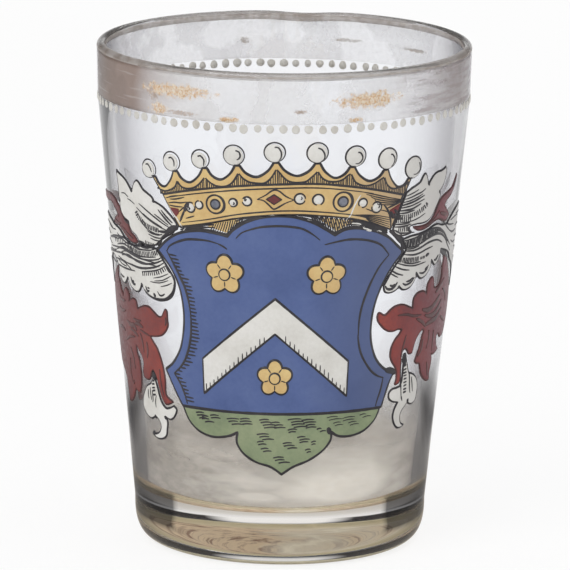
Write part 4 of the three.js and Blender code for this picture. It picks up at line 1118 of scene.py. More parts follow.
# Brush work
# Strokes are a width and their points. Rows of checks are a count, their size and width, and their line.
MANTLING_STROKES = {
    "left": [
        ([
            (0.85, -24.6, 78.4, -26.4, 77.9, -28, 77),
            (0.7, -24.8, 77.9, -26.6, 77.2, -28.6, 76.1),
            (0.6, -26.6, 77, -28.6, 76.6, -30.6, 76.5),
            (0.5, -27.2, 76.7, -28.6, 75.9, -29.8, 75.1),
            (0.5, -30.3, 81.5, -29.2, 80.5, -28.2, 79.6, -26.5, 78.4),
            (0.4, -29.4, 81.6, -28, 80.3, -26.2, 79),
            (0.38, -36.8, 81.9, -33.4, 80.4, -29.6, 78.7, -27.1, 77.8),
            (0.32, -31.6, 80.3, -29.6, 79.4, -27.4, 78.3),
            (0.38, -37.8, 80.8, -34, 78.9, -30.3, 77.6, -27.8, 77),
            (0.3, -35.4, 79.8, -32.4, 78.5, -29.4, 77.6),
            (0.3, -36.4, 77.7, -34.3, 76.4, -32, 75.8, -30.4, 75.8),
            (0.32, -34.4, 76, -32.6, 75.6, -30.6, 75.6, -29.4, 76),
            (0.32, -34, 75.3, -32, 74.9, -30.3, 74.9, -29.4, 75.3),
            (0.3, -33.4, 74.5, -31.8, 74.2, -30.3, 74.3),
            (0.3, -44.2, 83, -42.6, 83.2, -41, 82.6),
            (0.26, -41.4, 82.2, -39.8, 81.9, -38.4, 81.4),
            (1.1, -38.4, 72.8, -37, 72.6, -35.8, 72.8),
            (0.6, -38.6, 72.2, -36.8, 71.9, -34.8, 72, -32.4, 72.7),
            (0.8, -44.3, 77.2, -43, 76.7, -41.9, 76.2),
            (0.5, -46.1, 87.6, -45.9, 85.4, -45.8, 83.3, -45.8, 81, -45.8, 78.6),
            (1.2, -46.3, 81.2, -45.8, 81.1, -45.2, 80.8),
            (0.9, -46.4, 88, -45.8, 87.2),
            (0.9, -39.5, 84.9, -39.4, 84),
            (0.6, -32, 83.3, -31.3, 83),
            (0.9, -31.6, 72.6, -31, 71.8, -30.4, 70.8),
            (0.6, -29.8, 74.7, -30.6, 73.7, -31.2, 72.8),
        ], [
            (17, 1.1, 0.44, -38.1, 79.9, -37.4, 78.8, -36.3, 78.2, -35.4, 77.5, -33.6, 77, -31.8, 76.8,
             -30.4, 76.6),
            (6, 1, 0.36, -35.6, 73.2, -34.2, 73, -32.2, 72.9),
            (9, 1.2, 0.46, -51.7, 71, -46.8, 71.4, -42.9, 71.2, -39.6, 71.1),
        ]),
        ([
            (0.45, -53, 73.5, -57, 73.8, -62, 73.4, -65, 72.4),
            (0.4, -56, 71.4, -60.5, 71.6, -65, 70.2),
            (0.45, -55, 69.2, -60, 69.4, -65.6, 67.6),
            (0.4, -57, 67.2, -61, 66.8, -65, 64.6),
            (0.35, -59, 65.4, -62, 64.4, -64.4, 62),
            (0.5, -53.2, 71.5, -46.5, 72.4, -42.2, 72.3, -38.3, 71.8),
            (0.44, -56, 68.6, -47.2, 69.7, -41.7, 69.6, -37.4, 69, -32.3, 68.9),
            (0.44, -57.1, 67.2, -47.4, 68.5, -41.9, 68.4, -36.7, 68.2, -31, 68.2),
            (0.4, -53.1, 66.4, -46.6, 66.8, -42.4, 65.7),
            (0.4, -51.6, 65.3, -45.7, 65.3, -40.5, 65.6),
            (0.45, -49, 72.8, -47.2, 72.3, -45.4, 72.5, -42.8, 72),
            (0.45, -49.6, 71.4, -46.5, 72, -43.4, 71.5, -41, 71.6, -38.4, 71.1, -34.3, 71.5, -32.1, 72.1),
            (0.4, -49.6, 70.1, -47.1, 70.7, -44.6, 71, -42.6, 70.6),
            (0.42, -51, 68.6, -49, 69.3, -45.9, 70.2, -42.8, 69.9, -39, 69.5, -35.4, 69.7, -32, 70.3),
            (0.42, -47.8, 68.5, -44.6, 69.5, -41.5, 69.3, -38.4, 69, -34.9, 69.1, -31.5, 69.8, -30.1, 70.6),
            (0.5, -47.1, 68.1, -43.4, 68.8, -39.9, 68.2, -36.5, 68, -32.8, 68.7, -29.8, 69.9),
            (0.5, -44.9, 66.8, -41.8, 66.8, -38.7, 66.7, -35.6, 67.1, -32.1, 68, -29.5, 69.3),
            (0.34, -37.4, 66, -34, 66.7, -31.5, 67.4, -29.2, 68.6),
            (0.34, -49.6, 67.4, -47, 67, -44.6, 66.9),
            (0.3, -50, 66.6, -47.4, 66, -44.6, 65.9),
            (0.35, -50, 73.4, -53.5, 73.2, -57, 73.8),
            (0.5, -49.6, 71.4, -53, 71.2, -57, 70.4),
            (0.5, -51, 68.6, -54, 67.9, -57.4, 67.8),
            (0.35, -50.6, 66, -54, 65.2, -57, 65.6),
            (0.26, -33.4, 65.2, -30.8, 65.9, -28.3, 67),
            (0.26, -33, 64.6, -30.2, 65.2, -27.5, 66.6),
            (0.26, -34.6, 64.2, -31.4, 64.4, -28.4, 65.4),
            (0.26, -31, 63.6, -29, 64.2, -27.3, 65),
            (0.5, -29.1, 68.8, -28.5, 68.1, -27.9, 67.2),
            (0.6, -42.9, 63.8, -42.4, 62.8, -41.6, 62.4, -40.8, 62.4),
            (0.4, -42.1, 63.2, -41.4, 62.9),
            (0.6, -36.5, 62.8, -35.9, 61.8, -35.1, 62),
            (0.4, -35.8, 62.6, -35, 62.5),
            (0.42, -32.2, 62.3, -31.5, 61.5, -30.6, 61.6, -29.8, 62.1),
            (0.8, -33.6, 61.7, -33, 60.8),
            (0.85, -38.1, 63.3, -37.9, 62.2),
            (0.75, -44.6, 63.6, -44.4, 62.6),
            (0.5, -49, 63.4, -47.9, 63, -46.7, 63),
            (0.75, -26.9, 66.4, -26.6, 64.9, -27.4, 62.6, -29.3, 61, -32.1, 60.4, -35, 60.7, -37.4, 62),
        ], [
            (21, 1.15, 0.42, -43.4, 70.7, -40.8, 70.4, -38, 70.2, -35.9, 70.4, -33.4, 70.8, -31.4, 71.4),
            (4, 0.8, 0.36, -39.8, 71.4, -37.8, 71.4),
            (12, 1.15, 0.42, -37.7, 65.5, -35.4, 66, -33.2, 66.4, -31.2, 67, -29, 68.2),
        ]),
        ([
            (0.32, -38.7, 38.4, -38.9, 37.2, -38.7, 36.2),
            (0.32, -37.7, 39, -37.8, 37.6, -37.5, 36),
            (0.32, -37, 38.4, -36.9, 36.4, -37.2, 35.6),
            (0.32, -35.4, 37.5, -35.9, 36, -35.8, 34.6),
            (1.5, -36.2, 43.2, -35.9, 42.2, -35.2, 41),
            (0.9, -38.4, 28.1, -37.2, 28.4),
            (0.9, -36.9, 32.3, -36, 32.3),
            (0.8, -32.8, 33, -31.8, 32.5),
        ], [
            (6, 1.1, 0.52, -36.4, 42, -36.4, 40.6, -36.3, 38.8, -36.1, 37.2),
        ]),
    ],
    "right": [
        ([
            (0.3, 29.5, 85.3, 31.5, 85.7, 33.4, 86.3),
            (0.36, 29.2, 84.6, 31, 84.8, 32.8, 85.2, 34.6, 85.6, 35.8, 86.2),
            (0.36, 28.6, 83.9, 31, 84.1, 33.4, 84.6, 35, 85.1),
            (0.48, 28, 83.2, 31.5, 83.6, 33.6, 84.1, 35.6, 84.7),
            (0.36, 27.6, 82.7, 30.9, 82.8, 33.2, 83.2, 35.7, 83.8),
            (0.46, 27.7, 82.1, 31.2, 82, 33, 82.4, 34.6, 82.9),
            (0.36, 28, 81.5, 30.2, 81.4, 32.6, 81.7),
            (0.5, 36.4, 82.7, 37.1, 82.3),
            (0.3, 28.4, 79.4, 31, 79.2, 34, 79.6, 36.4, 80.4),
            (0.36, 26.4, 79.2, 28, 79, 29.6, 78.9, 31.4, 78.9),
            (0.36, 26.4, 78.6, 28.2, 78.4, 30, 78.4, 31.8, 78.6),
            (0.36, 27.4, 77.3, 29.2, 76.8, 31.2, 76.6, 33.4, 76.4),
            (0.34, 26.8, 77.8, 28, 77.2, 29.2, 76.4),
            (0.75, 26.2, 82.7, 27, 82, 28, 81.3),
            (0.7, 26.2, 81.8, 27.2, 81, 28.6, 80.9),
            (0.6, 26.3, 80.9, 27.6, 80.4, 29, 80.3),
            (0.7, 28.9, 85.8, 28.3, 84.9, 28.6, 83.8),
            (0.75, 31.6, 78.2, 31.3, 77.5, 31.7, 76.8),
            (0.7, 28.6, 76, 29.3, 74.8, 29.8, 73.5, 29.6, 72.2, 29.2, 71),
            (0.6, 29.4, 75.4, 30.2, 74.2, 30.4, 73),
            (0.5, 30.3, 72.8, 29.2, 71.6, 28, 70.2),
            (0.7, 36.5, 87.7, 37.1, 86.7),
            (0.7, 41.4, 84.8, 42.4, 84),
            (1.2, 49.6, 84.3, 50.4, 84.9, 51.2, 85.4),
        ], [
            (14, 1.15, 0.43, 28.6, 80.6, 30.3, 80.4, 32.1, 80.6, 33.4, 80.8, 34.6, 81.3, 35.7, 81.7,
             36.9, 82.5),
            (9, 0.9, 0.36, 26.4, 79.9, 28.2, 79.8, 30, 79.8, 31.6, 79.9),
            (6, 1.2, 0.4, 27.8, 77.9, 29.6, 77.7, 31.2, 77.7),
        ]),
        ([
            (0.5, 29.8, 74.9, 32, 75, 34.3, 75.2, 37.1, 75.8, 40.3, 76.2, 43.4, 75.7, 46.5, 74.1, 49, 72.2,
             51.6, 70.4),
            (0.5, 29.8, 73.4, 33.4, 73.1, 35.9, 73.5, 38.4, 74.2, 41.5, 74.6, 44.3, 74.3, 47.1, 72.9,
             49.4, 70.9, 52, 69),
            (0.4, 40, 75.5, 42.6, 75.3, 44.8, 74.8, 47, 73.6, 49.2, 71.6),
            (0.32, 30.2, 73, 33, 72.7, 35.4, 73),
            (0.5, 30.6, 72.5, 33.4, 72.2, 35.9, 72.5, 38.4, 73.1, 41.2, 73.3, 43.4, 73, 45.6, 72.1),
            (0.42, 30.5, 71.7, 33.4, 71.2, 35.9, 71.3, 38.1, 71.7, 40.9, 72),
            (0.36, 45.2, 77.3, 47.1, 75.7, 49.6, 74.2),
            (0.36, 46.5, 76.3, 49.9, 75.4, 53, 75),
            (0.35, 50, 76.4, 53.5, 76.6, 57, 76.4),
            (0.45, 55, 77, 59, 76.8, 62, 76.2, 65, 74.6),
            (0.4, 55, 74.2, 60, 74, 65.4, 72),
            (0.45, 56, 71.6, 61, 71, 66, 68.8),
            (0.4, 57, 69, 61, 68.2, 65.2, 65.4),
            (0.35, 58.6, 66.6, 62, 65.2, 64.2, 62),
            (0.4, 49.6, 74.2, 52.6, 73.2, 56, 73.2),
            (0.34, 52, 71.4, 54.8, 70.4, 57.6, 70.4),
            (0.7, 38.2, 70.2, 39.6, 70.5),
            (0.34, 28.1, 70.1, 31.2, 69.1, 34.3, 68.6, 38.4, 68.8),
            (0.34, 30.4, 69.8, 33.4, 69.2, 36.4, 69.2),
            (0.36, 27.4, 69.5, 30.2, 68.3, 32.6, 67.8),
            (0.4, 26.3, 68.8, 28.7, 67.5, 30.6, 66.9),
            (0.34, 26.4, 68, 27.6, 67.3, 29, 66.6),
            (0.6, 25.4, 65.1, 25.9, 64.4, 27, 64.1, 28.1, 64.5, 29, 65.5),
            (0.5, 26.7, 65.1, 27.5, 64.8, 28.3, 65.2),
            (0.5, 30.7, 65, 31.8, 64.5, 33.4, 64.8, 34.6, 65.8),
            (0.5, 31.8, 65.2, 33, 65.3, 34.2, 65.9),
            (0.5, 36.3, 66.6, 37.8, 66.3, 39.3, 66.9, 39.8, 67.9),
            (0.55, 38.4, 67, 39.6, 67.5),
            (0.6, 42.3, 68.6, 43.2, 68.5, 44.3, 69.4),
            (0.75, 35.1, 67, 35.4, 66.2, 35.7, 65.6),
            (0.75, 41, 69, 41.2, 68, 41.3, 67.4),
            (0.75, 29.2, 64.3, 30, 64.2),
            (1, 45.2, 70.5, 47.1, 69.5, 49.3, 68.6, 51.4, 67.2),
        ], [
            (30, 1.7, 0.42, 30.4, 74.2, 32.1, 74.1, 34.3, 74.3, 36.5, 74.8, 38.7, 75.2, 40.9, 75.5, 43, 75.1),
            (13, 1.15, 0.43, 28.8, 70.7, 30.6, 70.4, 32.1, 70.2, 34, 70, 35.6, 70),
            (4, 0.6, 0.4, 36, 70, 37, 70, 38, 70.1),
        ]),
        ([
            (0.4, 32.9, 47, 32.8, 45, 33.1, 42, 33.4, 39.8, 33.8, 37.5),
            (1.4, 33.8, 48.3, 33.9, 46.8, 34, 45.4),
            (0.4, 35.1, 45.8, 35.6, 44.4, 36.3, 42.5, 36.8, 39.6, 37.2, 38.4),
            (0.32, 37.2, 42.2, 37.8, 40.2, 38.2, 38.6),
            (0.32, 33.8, 38.2, 34.2, 37),
            (1, 36.2, 37, 36.8, 36.5),
        ], [
            (9, 1.1, 0.52, 34, 45.6, 34.3, 44, 34.6, 42, 34.8, 40.4, 34.9, 38.6),
        ]),
    ],
}
FOLIAGE_STROKES = {
    "left": [
        (0.9, -42.8, 52.9, -40.8, 53.2, -38.9, 52.7),
        (0.6, -43.5, 54, -41, 53.9, -39.6, 54.2),
        (1.1, -47.4, 52.8, -45, 52.2, -43.4, 52.4, -42, 51.4),
        (0.8, -45.5, 51.2, -43.5, 51, -41.5, 50.2),
        (0.6, -40.5, 51.2, -39.6, 49, -39.4, 46.8),
        (0.6, -49, 48, -46, 49.3, -43.3, 49.8),
        (0.7, -37.8, 49.6, -37.6, 47.6, -38.1, 45.8),
        (0.6, -46.5, 46.8, -45.2, 44.5, -44.7, 42),
        (1.3, -46.6, 38.7, -46, 38.3),
        (0.6, -47.5, 44, -47.9, 41, -47, 38.4),
        (0.8, -52, 58, -50, 57.2, -47.6, 57.4),
        (0.8, -53, 55, -50.5, 54.6, -48, 55),
        (0.8, -54.5, 50, -52, 50.4, -49.6, 50),
        (0.5, -36.4, 51.3, -38.6, 51.6, -40.4, 52),
        (0.6, -30.2, 56.6, -30, 55.6, -30.4, 54.6),
        (0.6, -45.8, 75, -44, 74.4, -42, 73.6, -40.2, 73.2),
        (0.8, -50.5, 78.8, -48.8, 78.2, -47, 77),
        (0.7, -49.8, 76, -47.8, 75.4, -46, 75.6),
        (0.5, -33.4, 44, -33.2, 40.6, -32.3, 37.6),
    ],
    "right": [
        (1.2, 39, 57.6, 42, 57, 45, 57.8, 48, 59.5),
        (1.1, 40.5, 56, 43.5, 55.4, 46.5, 56, 49.5, 58),
        (1.2, 41, 53.6, 44, 54, 47, 54.4, 50, 56),
        (0.8, 37, 55.8, 39.5, 54.6, 41.5, 53.2),
        (0.9, 45, 60.5, 47.5, 61.5, 50, 63),
        (0.8, 43.5, 52, 43.8, 50, 43, 47.8),
        (0.7, 46.2, 51.5, 46.5, 49.5, 46.3, 46.6),
        (0.8, 40.8, 50.5, 40.4, 48, 39, 46.6),
        (0.7, 44, 44.5, 44.8, 42.5, 45.2, 41),
        (0.6, 33.6, 52.6, 32.9, 50.4, 32.2, 47.6),
        (0.6, 30, 57.6, 33, 57.4, 36, 56.6, 39, 56.4),
        (0.7, 49.5, 60.6, 51.8, 59.4, 53.6, 57),
        (0.7, 50, 54, 52.6, 53, 54.6, 52),
        (0.6, 36, 77.2, 38.6, 77.6, 40.8, 78.6, 42.6, 80),
        (0.8, 43, 79.4, 45, 78.8, 46.6, 78.4),
    ],
}
MANTLING_EDGE = 0.5
FOLIAGE_EDGES = {"left": (0.5, 0.45), "right": (0.55, 0.5)}


def draw_mantling(side):
    brush, dark = Brush(), Brush()
    for name in ("leaf", "scroll", "tassel"):
        brush.around(outline(*MANTLING[f"{side}_{name}"], step=LINE_STEP), MANTLING_EDGE)
    for name, width in zip(RED_PARTS, FOLIAGE_EDGES[side]):
        dark.around(outline(*MANTLING[f"{side}_{name}"], step=LINE_STEP), width)
    for strokes, checks in MANTLING_STROKES[side]:
        brush.strokes(strokes)
        for row in checks:
            brush.checks(*row)
    dark.strokes(FOLIAGE_STROKES[side])
    brush.piece(f"mantling_{side}_linework", BLACK, "black_enamel")
    dark.piece(f"foliage_{side}_linework", DARK_RED, "red_enamel")


# The lower edges of the arches of the coronet, from left to right
ARCHES = [
    [-30.2, 86.5, -29, 86.3, -27.7, 86.2, -26, 86.8, -24.9, 87.6, -24.3, 88.9],
    [-24.2, 88.9, -23.6, 88.1, -22.7, 87.6, -21.2, 87.6, -19.7, 88.1, -18.6, 89, -17.4, 90.4],
    [-17.1, 90.4, -16.3, 89.6, -14.8, 88.9, -13.2, 88.8, -11.7, 89.3, -10.6, 90.4, -9.7, 92],
    [-9.5, 92, -8.5, 90.9, -7.2, 90.2, -5.4, 90, -4, 90.1, -2.9, 90.9, -2, 92.2, -1.5, 93.2],
    [-1.3, 93.2, -0.6, 92.4, 0.2, 91.4, 1.3, 90.6, 3, 90.3, 4.8, 90.5, 6, 91.4, 7.3, 92.7],
    [7.5, 92.7, 8.4, 91.3, 9.7, 90.5, 11.4, 90.3, 13, 90.7, 14, 91.5, 14.7, 91.9],
    [14.9, 91.8, 15.3, 91, 16, 89.9, 17.5, 89.1, 19, 88.9, 20.7, 89.3, 22, 90, 22.9, 90.4],
    [23.1, 90.3, 23.7, 88.9, 24.7, 87.9, 26, 87.5, 27.5, 87.7, 29, 88, 30, 88.6],
]
ARCH_STROKE_STEP = 0.44
BORDER = 0.9
# Place and width of the dark spots on the seed pearls
GLINTS = [(-21.3, 83.1, 0.5), (-10.7, 85.2, 0.4), (-8.2, 86.3, 0.7), (4, 86.8, 0.35), (21.9, 83.9, 0.4)]
RUBY_SETTING = [
    (-5.6, 86.3, -3.8, 87.3, -2.5, 88.3, -1.6, 88.6, -0.6, 88.2, 0.6, 87.2, 2.4, 86.3),
    (-5.6, 86.3, -4.2, 86.1, -3, 85.1, -2, 84.2, -1, 84.6, 0.6, 85.6, 2.4, 86.3),
]
CORONET_STROKES = [
    (1.1, -21.5, 84.4, -22.2, 83.2, -22.8, 82.2),
    (0.5, -22.6, 82.6, -23.4, 81, -24.1, 79.6),
    (0.32, -27.1, 83.5, -25.4, 83.9, -23.6, 84, -22, 84.4),
    (0.32, -26.9, 83.1, -25, 83, -23.2, 83.1),
    (0.32, -24.2, 81.9, -23.4, 82.6, -22.9, 83.1),
    (0.32, -22.4, 80.6, -21, 81.1, -20.2, 81.4),
    (0.32, -26.6, 84.5, -25, 84.7, -22.6, 85.4),
    (0.32, -27.6, 84.6, -26, 85.2, -24, 85.6),
    (0.5, 23.4, 84, 24.3, 83, 25.2, 81.4, 25.6, 79.6, 25.6, 78.4),
    (0.4, 24.4, 83.2, 25.8, 83.6, 28.1, 84.2),
    (0.7, 25.2, 82.4, 26.2, 80.6),
    (0.8, 25.5, 77.8, 26.6, 77.2, 27.9, 76, 29.2, 74.5),
    (0.8, 26.1, 77.9, 27.3, 77, 28.7, 75.7, 29.7, 74.4),
    (0.5, 25.9, 77.9, 27.5, 77.1, 29.6, 76.8),
    (0.5, 26.4, 77.2, 28.2, 76.4, 30, 76.1),
    (0.5, 27.4, 76.4, 28.9, 75.7, 30.3, 75.4),
    (0.5, 28.3, 75.4, 29.4, 74.9, 30.5, 74.6),
]
# Left and right end of the gaps under the circlet, the shares of their height with a line, and its width
LINING_LINES = [
    (-24.2, -15.4, (0.2, 0.5, 0.8), 0.5), (-10.4, -4.4, (0.35, 0.75), 0.42), (3.4, 9.4, (0.3, 0.75), 0.42),
    (14.4, 25, (0.15, 0.42, 0.68, 0.92), 0.62),
]


def draw_coronet():
    brush = Brush()
    brush.around(crest_line(), 0.6)
    brush.around(circlet_line(LINE_STEP), 0.5)
    for arch in ARCHES:
        brush.line(arch, 0.5, (0.9, 0.9))
    top, bottom = curve(CIRCLET_TOP), curve(CIRCLET_BOTTOM[::-1])
    arches = np.vstack([curve(arch, 0.2) for arch in ARCHES])
    for x in np.arange(-29.4, 30, ARCH_STROKE_STEP):
        low, high = height_at(top, x), height_at(arches, x)
        if high - low > 0.55:
            x2 = x + draw.uniform(-0.08, 0.08)
            brush.line([x2, low, x2, (low + high) / 2, x2, high - 0.1], 0.3, (0.9, 0.9))
    brush.line([(x, y - BORDER) for x, y in top[3:-18:4]], 0.42)
    brush.line([(x, y + BORDER) for x, y in bottom[3:-10:4]], 0.42)
    for x, y, radius, _, _, *shade in PEARLS:
        brush.line(arc(x, y, radius, -70, 291), 0.36, (0.5, 0.5))
        brush.line(np.reshape(shade, (-1, 2)) * radius + (x, y), 0.42, (0.9, 0.3))
    for x, y, radius in SEED_PEARLS:
        start = draw.uniform(0, 360)
        brush.line(arc(x, y, radius * 1.04, start, start + draw.uniform(335, 360)), 0.48, (0.7, 0.6))
    for x, y, wide in GLINTS:
        brush.line([x, y + 0.35, x + 0.15, y, x - 0.1, y - 0.35], wide, (0.6, 0.6))
    for x, y, radius in SAPPHIRES.values():
        brush.around(ellipse(x, y, radius, radius), 0.5)
        brush.around(ellipse(x, y, radius * 0.53, radius * 0.53), 0.4)
        brush.line(arc(x, y, radius, -80, 81), 0.8)
    for line in RUBY_SETTING:
        brush.line(line, 0.45)
    brush.around(outline(*RUBIES["coronet_ruby"], step=0.3), 0.3)
    brush.strokes(CORONET_STROKES)
    for k in range(5):
        brush.line([17.6 + k * 1.1, 87.6 - k * 0.65, 21.5, 86.5 - k * 0.5, 25, 85.5 - k * 0.4,
                    28.3, 84.7 - k * 0.1], 0.34)
    for k in range(6):
        brush.line([16.2 + k * 0.5, 82.4 - k * 0.06, 19.5, 82.1 - k * 0.24, 22.5, 81.6 - k * 0.42,
                    25.3, 80.9 - k * 0.52], 0.3)
    brush.line([22.6, 82.9, 23.6, 82.7, 24.6, 82.2], 0.3)
    brush.line([18.8, 83.6, 20, 83.1, 21, 82.6], 0.3)
    draw_linings(brush, bottom)
    brush.piece("coronet_linework", BLACK, "black_enamel")


def draw_linings(brush, bottom):
    """Lines and cross-hatching between the circlet and the upper edge of the shield."""
    rim = np.vstack([curve(FIELD[k]) for k in (7, 0, 1)])
    rim = rim[np.argsort(rim[:, 0])]
    for start, end, shares, width in LINING_LINES:
        x = np.linspace(start, end, 7)
        low, high = height_at(rim, x), height_at(bottom, x)
        for share in shares:
            brush.line(np.stack([x, low + (high - low) * share], 1), width, (0.6, 0.6))
    for start, end in ((-17.6, -9), (4, 17.5)):
        x = np.linspace(start, end, 12)
        brush.line(np.stack([x, height_at(rim, x) + 0.3], 1), 0.55, (0.6, 0.6))
    for k in range(13):
        x = -16.4 + k * 0.56
        low, high = height_at(rim, x), height_at(bottom, x + 0.9)
        brush.line([x, low + 0.5, x + 0.5, (low + high) / 2, x + 0.9, high - 0.3], 0.3, (0.6, 0.9))
    for k in range(17):
        x = 6.6 + k * 0.55
        low, high = height_at(rim, x), height_at(bottom, x)
        if high - low > 0.7:
            brush.line([x - 0.5, high - 0.2, x, (low + high) / 2, x + 0.4, low + 0.3], 0.36, (0.9, 0.6))
            if k % 2:
                brush.line([x + 0.5, high - 0.2, x, (low + high) / 2, x - 0.4, low + 0.3], 0.32, (0.9, 0.6))


SHIELD_STROKES = [
    (0.5, -28.4, 72.2, -27.6, 73.4, -26, 74.4, -23, 75.6, -20, 76, -17, 76, -14.5, 75.5),
    (0.42, -14.8, 75.6, -13.4, 75, -12.5, 74.4),
    (0.6, -28.3, 72.2, -26.5, 69.5, -25, 67, -23.7, 64.5, -22.8, 61.5, -22.4, 58.5),
    (0.6, -22.4, 59, -22.4, 55.5, -22.8, 52.5, -23.6, 49.8, -24.8, 47.3, -26.5, 45.3, -28.3, 43.9),
    (0.5, -28.3, 43.9, -26.7, 42, -25.5, 39.8, -24.6, 37.2),
    (0.5, -10.4, 77.1, -9, 78.5, -6.5, 79.5, -4, 80.1, 0, 80.3, 4, 79.8, 6.5, 78.5, 8.4, 77),
    (0.5, 9.5, 75.9, 12, 76.4, 15, 76.8, 18, 76.6, 21, 75.9, 23.5, 74.7, 25.8, 72.3),
    (0.55, 25.7, 72.2, 23.5, 70, 21.8, 67.3, 20.5, 64.5, 19.3, 61, 18.8, 57.5, 18.8, 54),
    (0.55, 18.8, 55, 18.8, 53.6, 19.6, 50.5, 21, 48, 23, 45.6, 25, 44.2, 27, 43.5),
    (0.5, 26.8, 43.5, 26.4, 41, 25.5, 38.5, 25.1, 37),
    (1.3, 27.4, 45.1, 29.2, 44.8, 31.2, 44),
    (1.1, 12, 33.2, 12.4, 32.4, 12.7, 31.6),
]
# Place, count and length of the groups of dashes on the ground
GRASS = [
    (-22.4, 35.6, 3, 3), (-20.8, 34.9, 3, 2.6), (-18, 35.4, 2, 2.6), (-13.6, 35, 3, 3.2), (-10.4, 35.2, 3, 3),
    (-5.6, 35.2, 4, 3.4), (-2.2, 34.6, 3, 3), (-5.8, 31.8, 3, 3.2), (-6, 30, 2, 2.4), (-4.6, 28.4, 2, 2.2),
    (-1.6, 26.4, 3, 2.8), (1.8, 35.4, 4, 3.6), (5.2, 35.2, 4, 3.2), (1.6, 33, 2, 2.4), (4.2, 31.2, 3, 3),
    (0.6, 29.8, 3, 2.8), (7.6, 30, 2, 1.6), (6.2, 28.2, 2, 1.6), (9.4, 33, 2, 1.6), (12, 35.6, 2, 3.4),
    (15.8, 35.2, 2, 3.6), (17.8, 34, 2, 3), (20.6, 35.5, 2, 2.6), (13.6, 34.2, 2, 2.6),
]
SHADE_TOP, SHADE_BOTTOM, SHADE_STEP = 71.6, 37.6, 0.84
CRACK = (17.4, 86.9, 16.6, 85.6, 15.9, 84.2, 15.2, 82.4, 14.2, 81.2)
CHIPS = [
    (0.8, 15.6, 80.4, 16.8, 80.3, 18, 79.9),
    (0.7, 18.4, 79.4, 19.4, 78.9, 20.6, 78.4),
    (0.45, 22, 78.2, 22.8, 78, 23.4, 77.8),
    (0.35, 11.2, 79.4, 11.6, 78.9),
    (0.3, -3.4, 82.6, -2.2, 82.8, -1, 82.8),
    (0.3, 5.4, 81.8, 6.4, 81.5),
    (0.35, -27.9, 83.6, -26.6, 82.2, -25, 80.4, -23.6, 78.4),
    (0.3, -22.8, 78.3, -23.4, 77.6),
]


def draw_wear():
    """A crack across the circlet and chips beside it, where the pale ground shows."""
    brush = Brush()
    brush.line(CRACK, 0.42, (0.5, 0.6))
    brush.strokes(CHIPS)
    brush.piece("worn_places", WHITE, "white_enamel")


def draw_shield():
    brush = Brush()
    brush.around(outline(*FIELD, step=LINE_STEP), 0.75)
    brush.around(outline(*GROUND, step=LINE_STEP), 0.7)
    brush.around(chevron_line(), 0.6)
    for rose in ROSES:
        x, y, _ = rose
        brush.around(rose_line(*rose), 0.55)
        brush.around(ellipse(x, y, ROSE_SEED_RADIUS, ROSE_SEED_RADIUS), 0.42)
        for k in range(ROSE_PETALS):
            turn = (k + 0.5) / ROSE_PETALS * 2 * math.pi
            a, b = math.sin(turn), math.cos(turn)
            brush.line([(x + a * r, y + b * r) for r in (1.6, 2.2, 2.8)], 0.34)
    brush.strokes(SHIELD_STROKES)
    inner = np.vstack([curve(points) for _, *points in SHIELD_STROKES[2:5]])
    inner = inner[np.argsort(-inner[:, 1])]
    for y in np.arange(SHADE_TOP, SHADE_BOTTOM, -SHADE_STEP):
        x = np.interp(-y, -inner[:, 1], inner[:, 0])
        reach = draw.uniform(1.4, 2.5)
        brush.line([x, y, x + reach / 2, y - 0.05, x + reach, y - 0.1], 0.48, (1, 0.4))
    for x, y, count, length in GRASS:
        for k in range(count):
            a = x + k * 0.45 + draw.uniform(-0.4, 0.4)
            b = y - k * 0.6
            size = length * draw.uniform(0.7, 1.05)
            width = 0.26 if x > 11 else 0.4
            brush.line([a, b - 0.1, a + size * 0.5, b + 0.14, a + size, b + 0.06], width, (0.9, 0.4))
    draw_chevron(brush)
    brush.piece("shield_linework", BLACK, "black_enamel")


def draw_chevron(brush):
    """Shading strokes on the chevron, close together along its lower edges."""
    for side in (-1, 1):
        for reach in np.arange(2.5, CHEVRON_HALF - 0.5, 1.05):
            x = CHEVRON_X + side * reach
            low = CHEVRON_TOP - CHEVRON_WIDTH - CHEVRON_DROP * reach / CHEVRON_HALF + 0.2
            length = draw.uniform(0.9, 1.7)
            brush.line([x, low, x, low + length / 2, x, low + length], 0.32, (0.9, 0.3))


# Studio
CAMERA_DISTANCE = 1300
CAMERA_ELEVATION = math.radians(12.417)
CAMERA_ROLL = math.radians(0.598)
FOCAL_PIXELS = 5679.5
FRAME_PIXELS = 570
TARGET_PIXEL = (281.9, 288.4)
SENSOR = 36
FLOOR_RADIUS = 6
FLOOR_STEPS = 64
FLOOR_GAP = 0.05
ROOM_LIGHT = 0.55
PAPER = (255, 255, 255)
CARD = (38, 40, 46)
LAMP_SIZE = 0.9
LAMP_AIM = Vector((0, 0, 0.06))
# Place in metres, and watts
LAMPS = {"key": (-0.8, -1.1, 1.2, 11), "fill": (1.2, -0.6, 0.9, 3.5), "back": (0.2, 1.2, 1.2, 6)}


def make_camera():
    data = bpy.data.cameras.new("camera")
    camera = link("camera", data)
    data.sensor_width = SENSOR
    data.lens = FOCAL_PIXELS * SENSOR / FRAME_PIXELS
    data.shift_x = (FRAME_PIXELS / 2 - TARGET_PIXEL[0]) / FRAME_PIXELS
    data.shift_y = (TARGET_PIXEL[1] - FRAME_PIXELS / 2) / FRAME_PIXELS
    back = Vector((0, -math.cos(CAMERA_ELEVATION), math.sin(CAMERA_ELEVATION)))
    camera.location = (Vector((0, 0, HEIGHT / 2)) + back * CAMERA_DISTANCE) * MM
    camera.rotation_mode = "QUATERNION"
    roll = Quaternion((0, 0, 1), CAMERA_ROLL)
    camera.rotation_quaternion = (-back).to_track_quat("-Z", "Y") @ roll
    bpy.context.scene.camera = camera


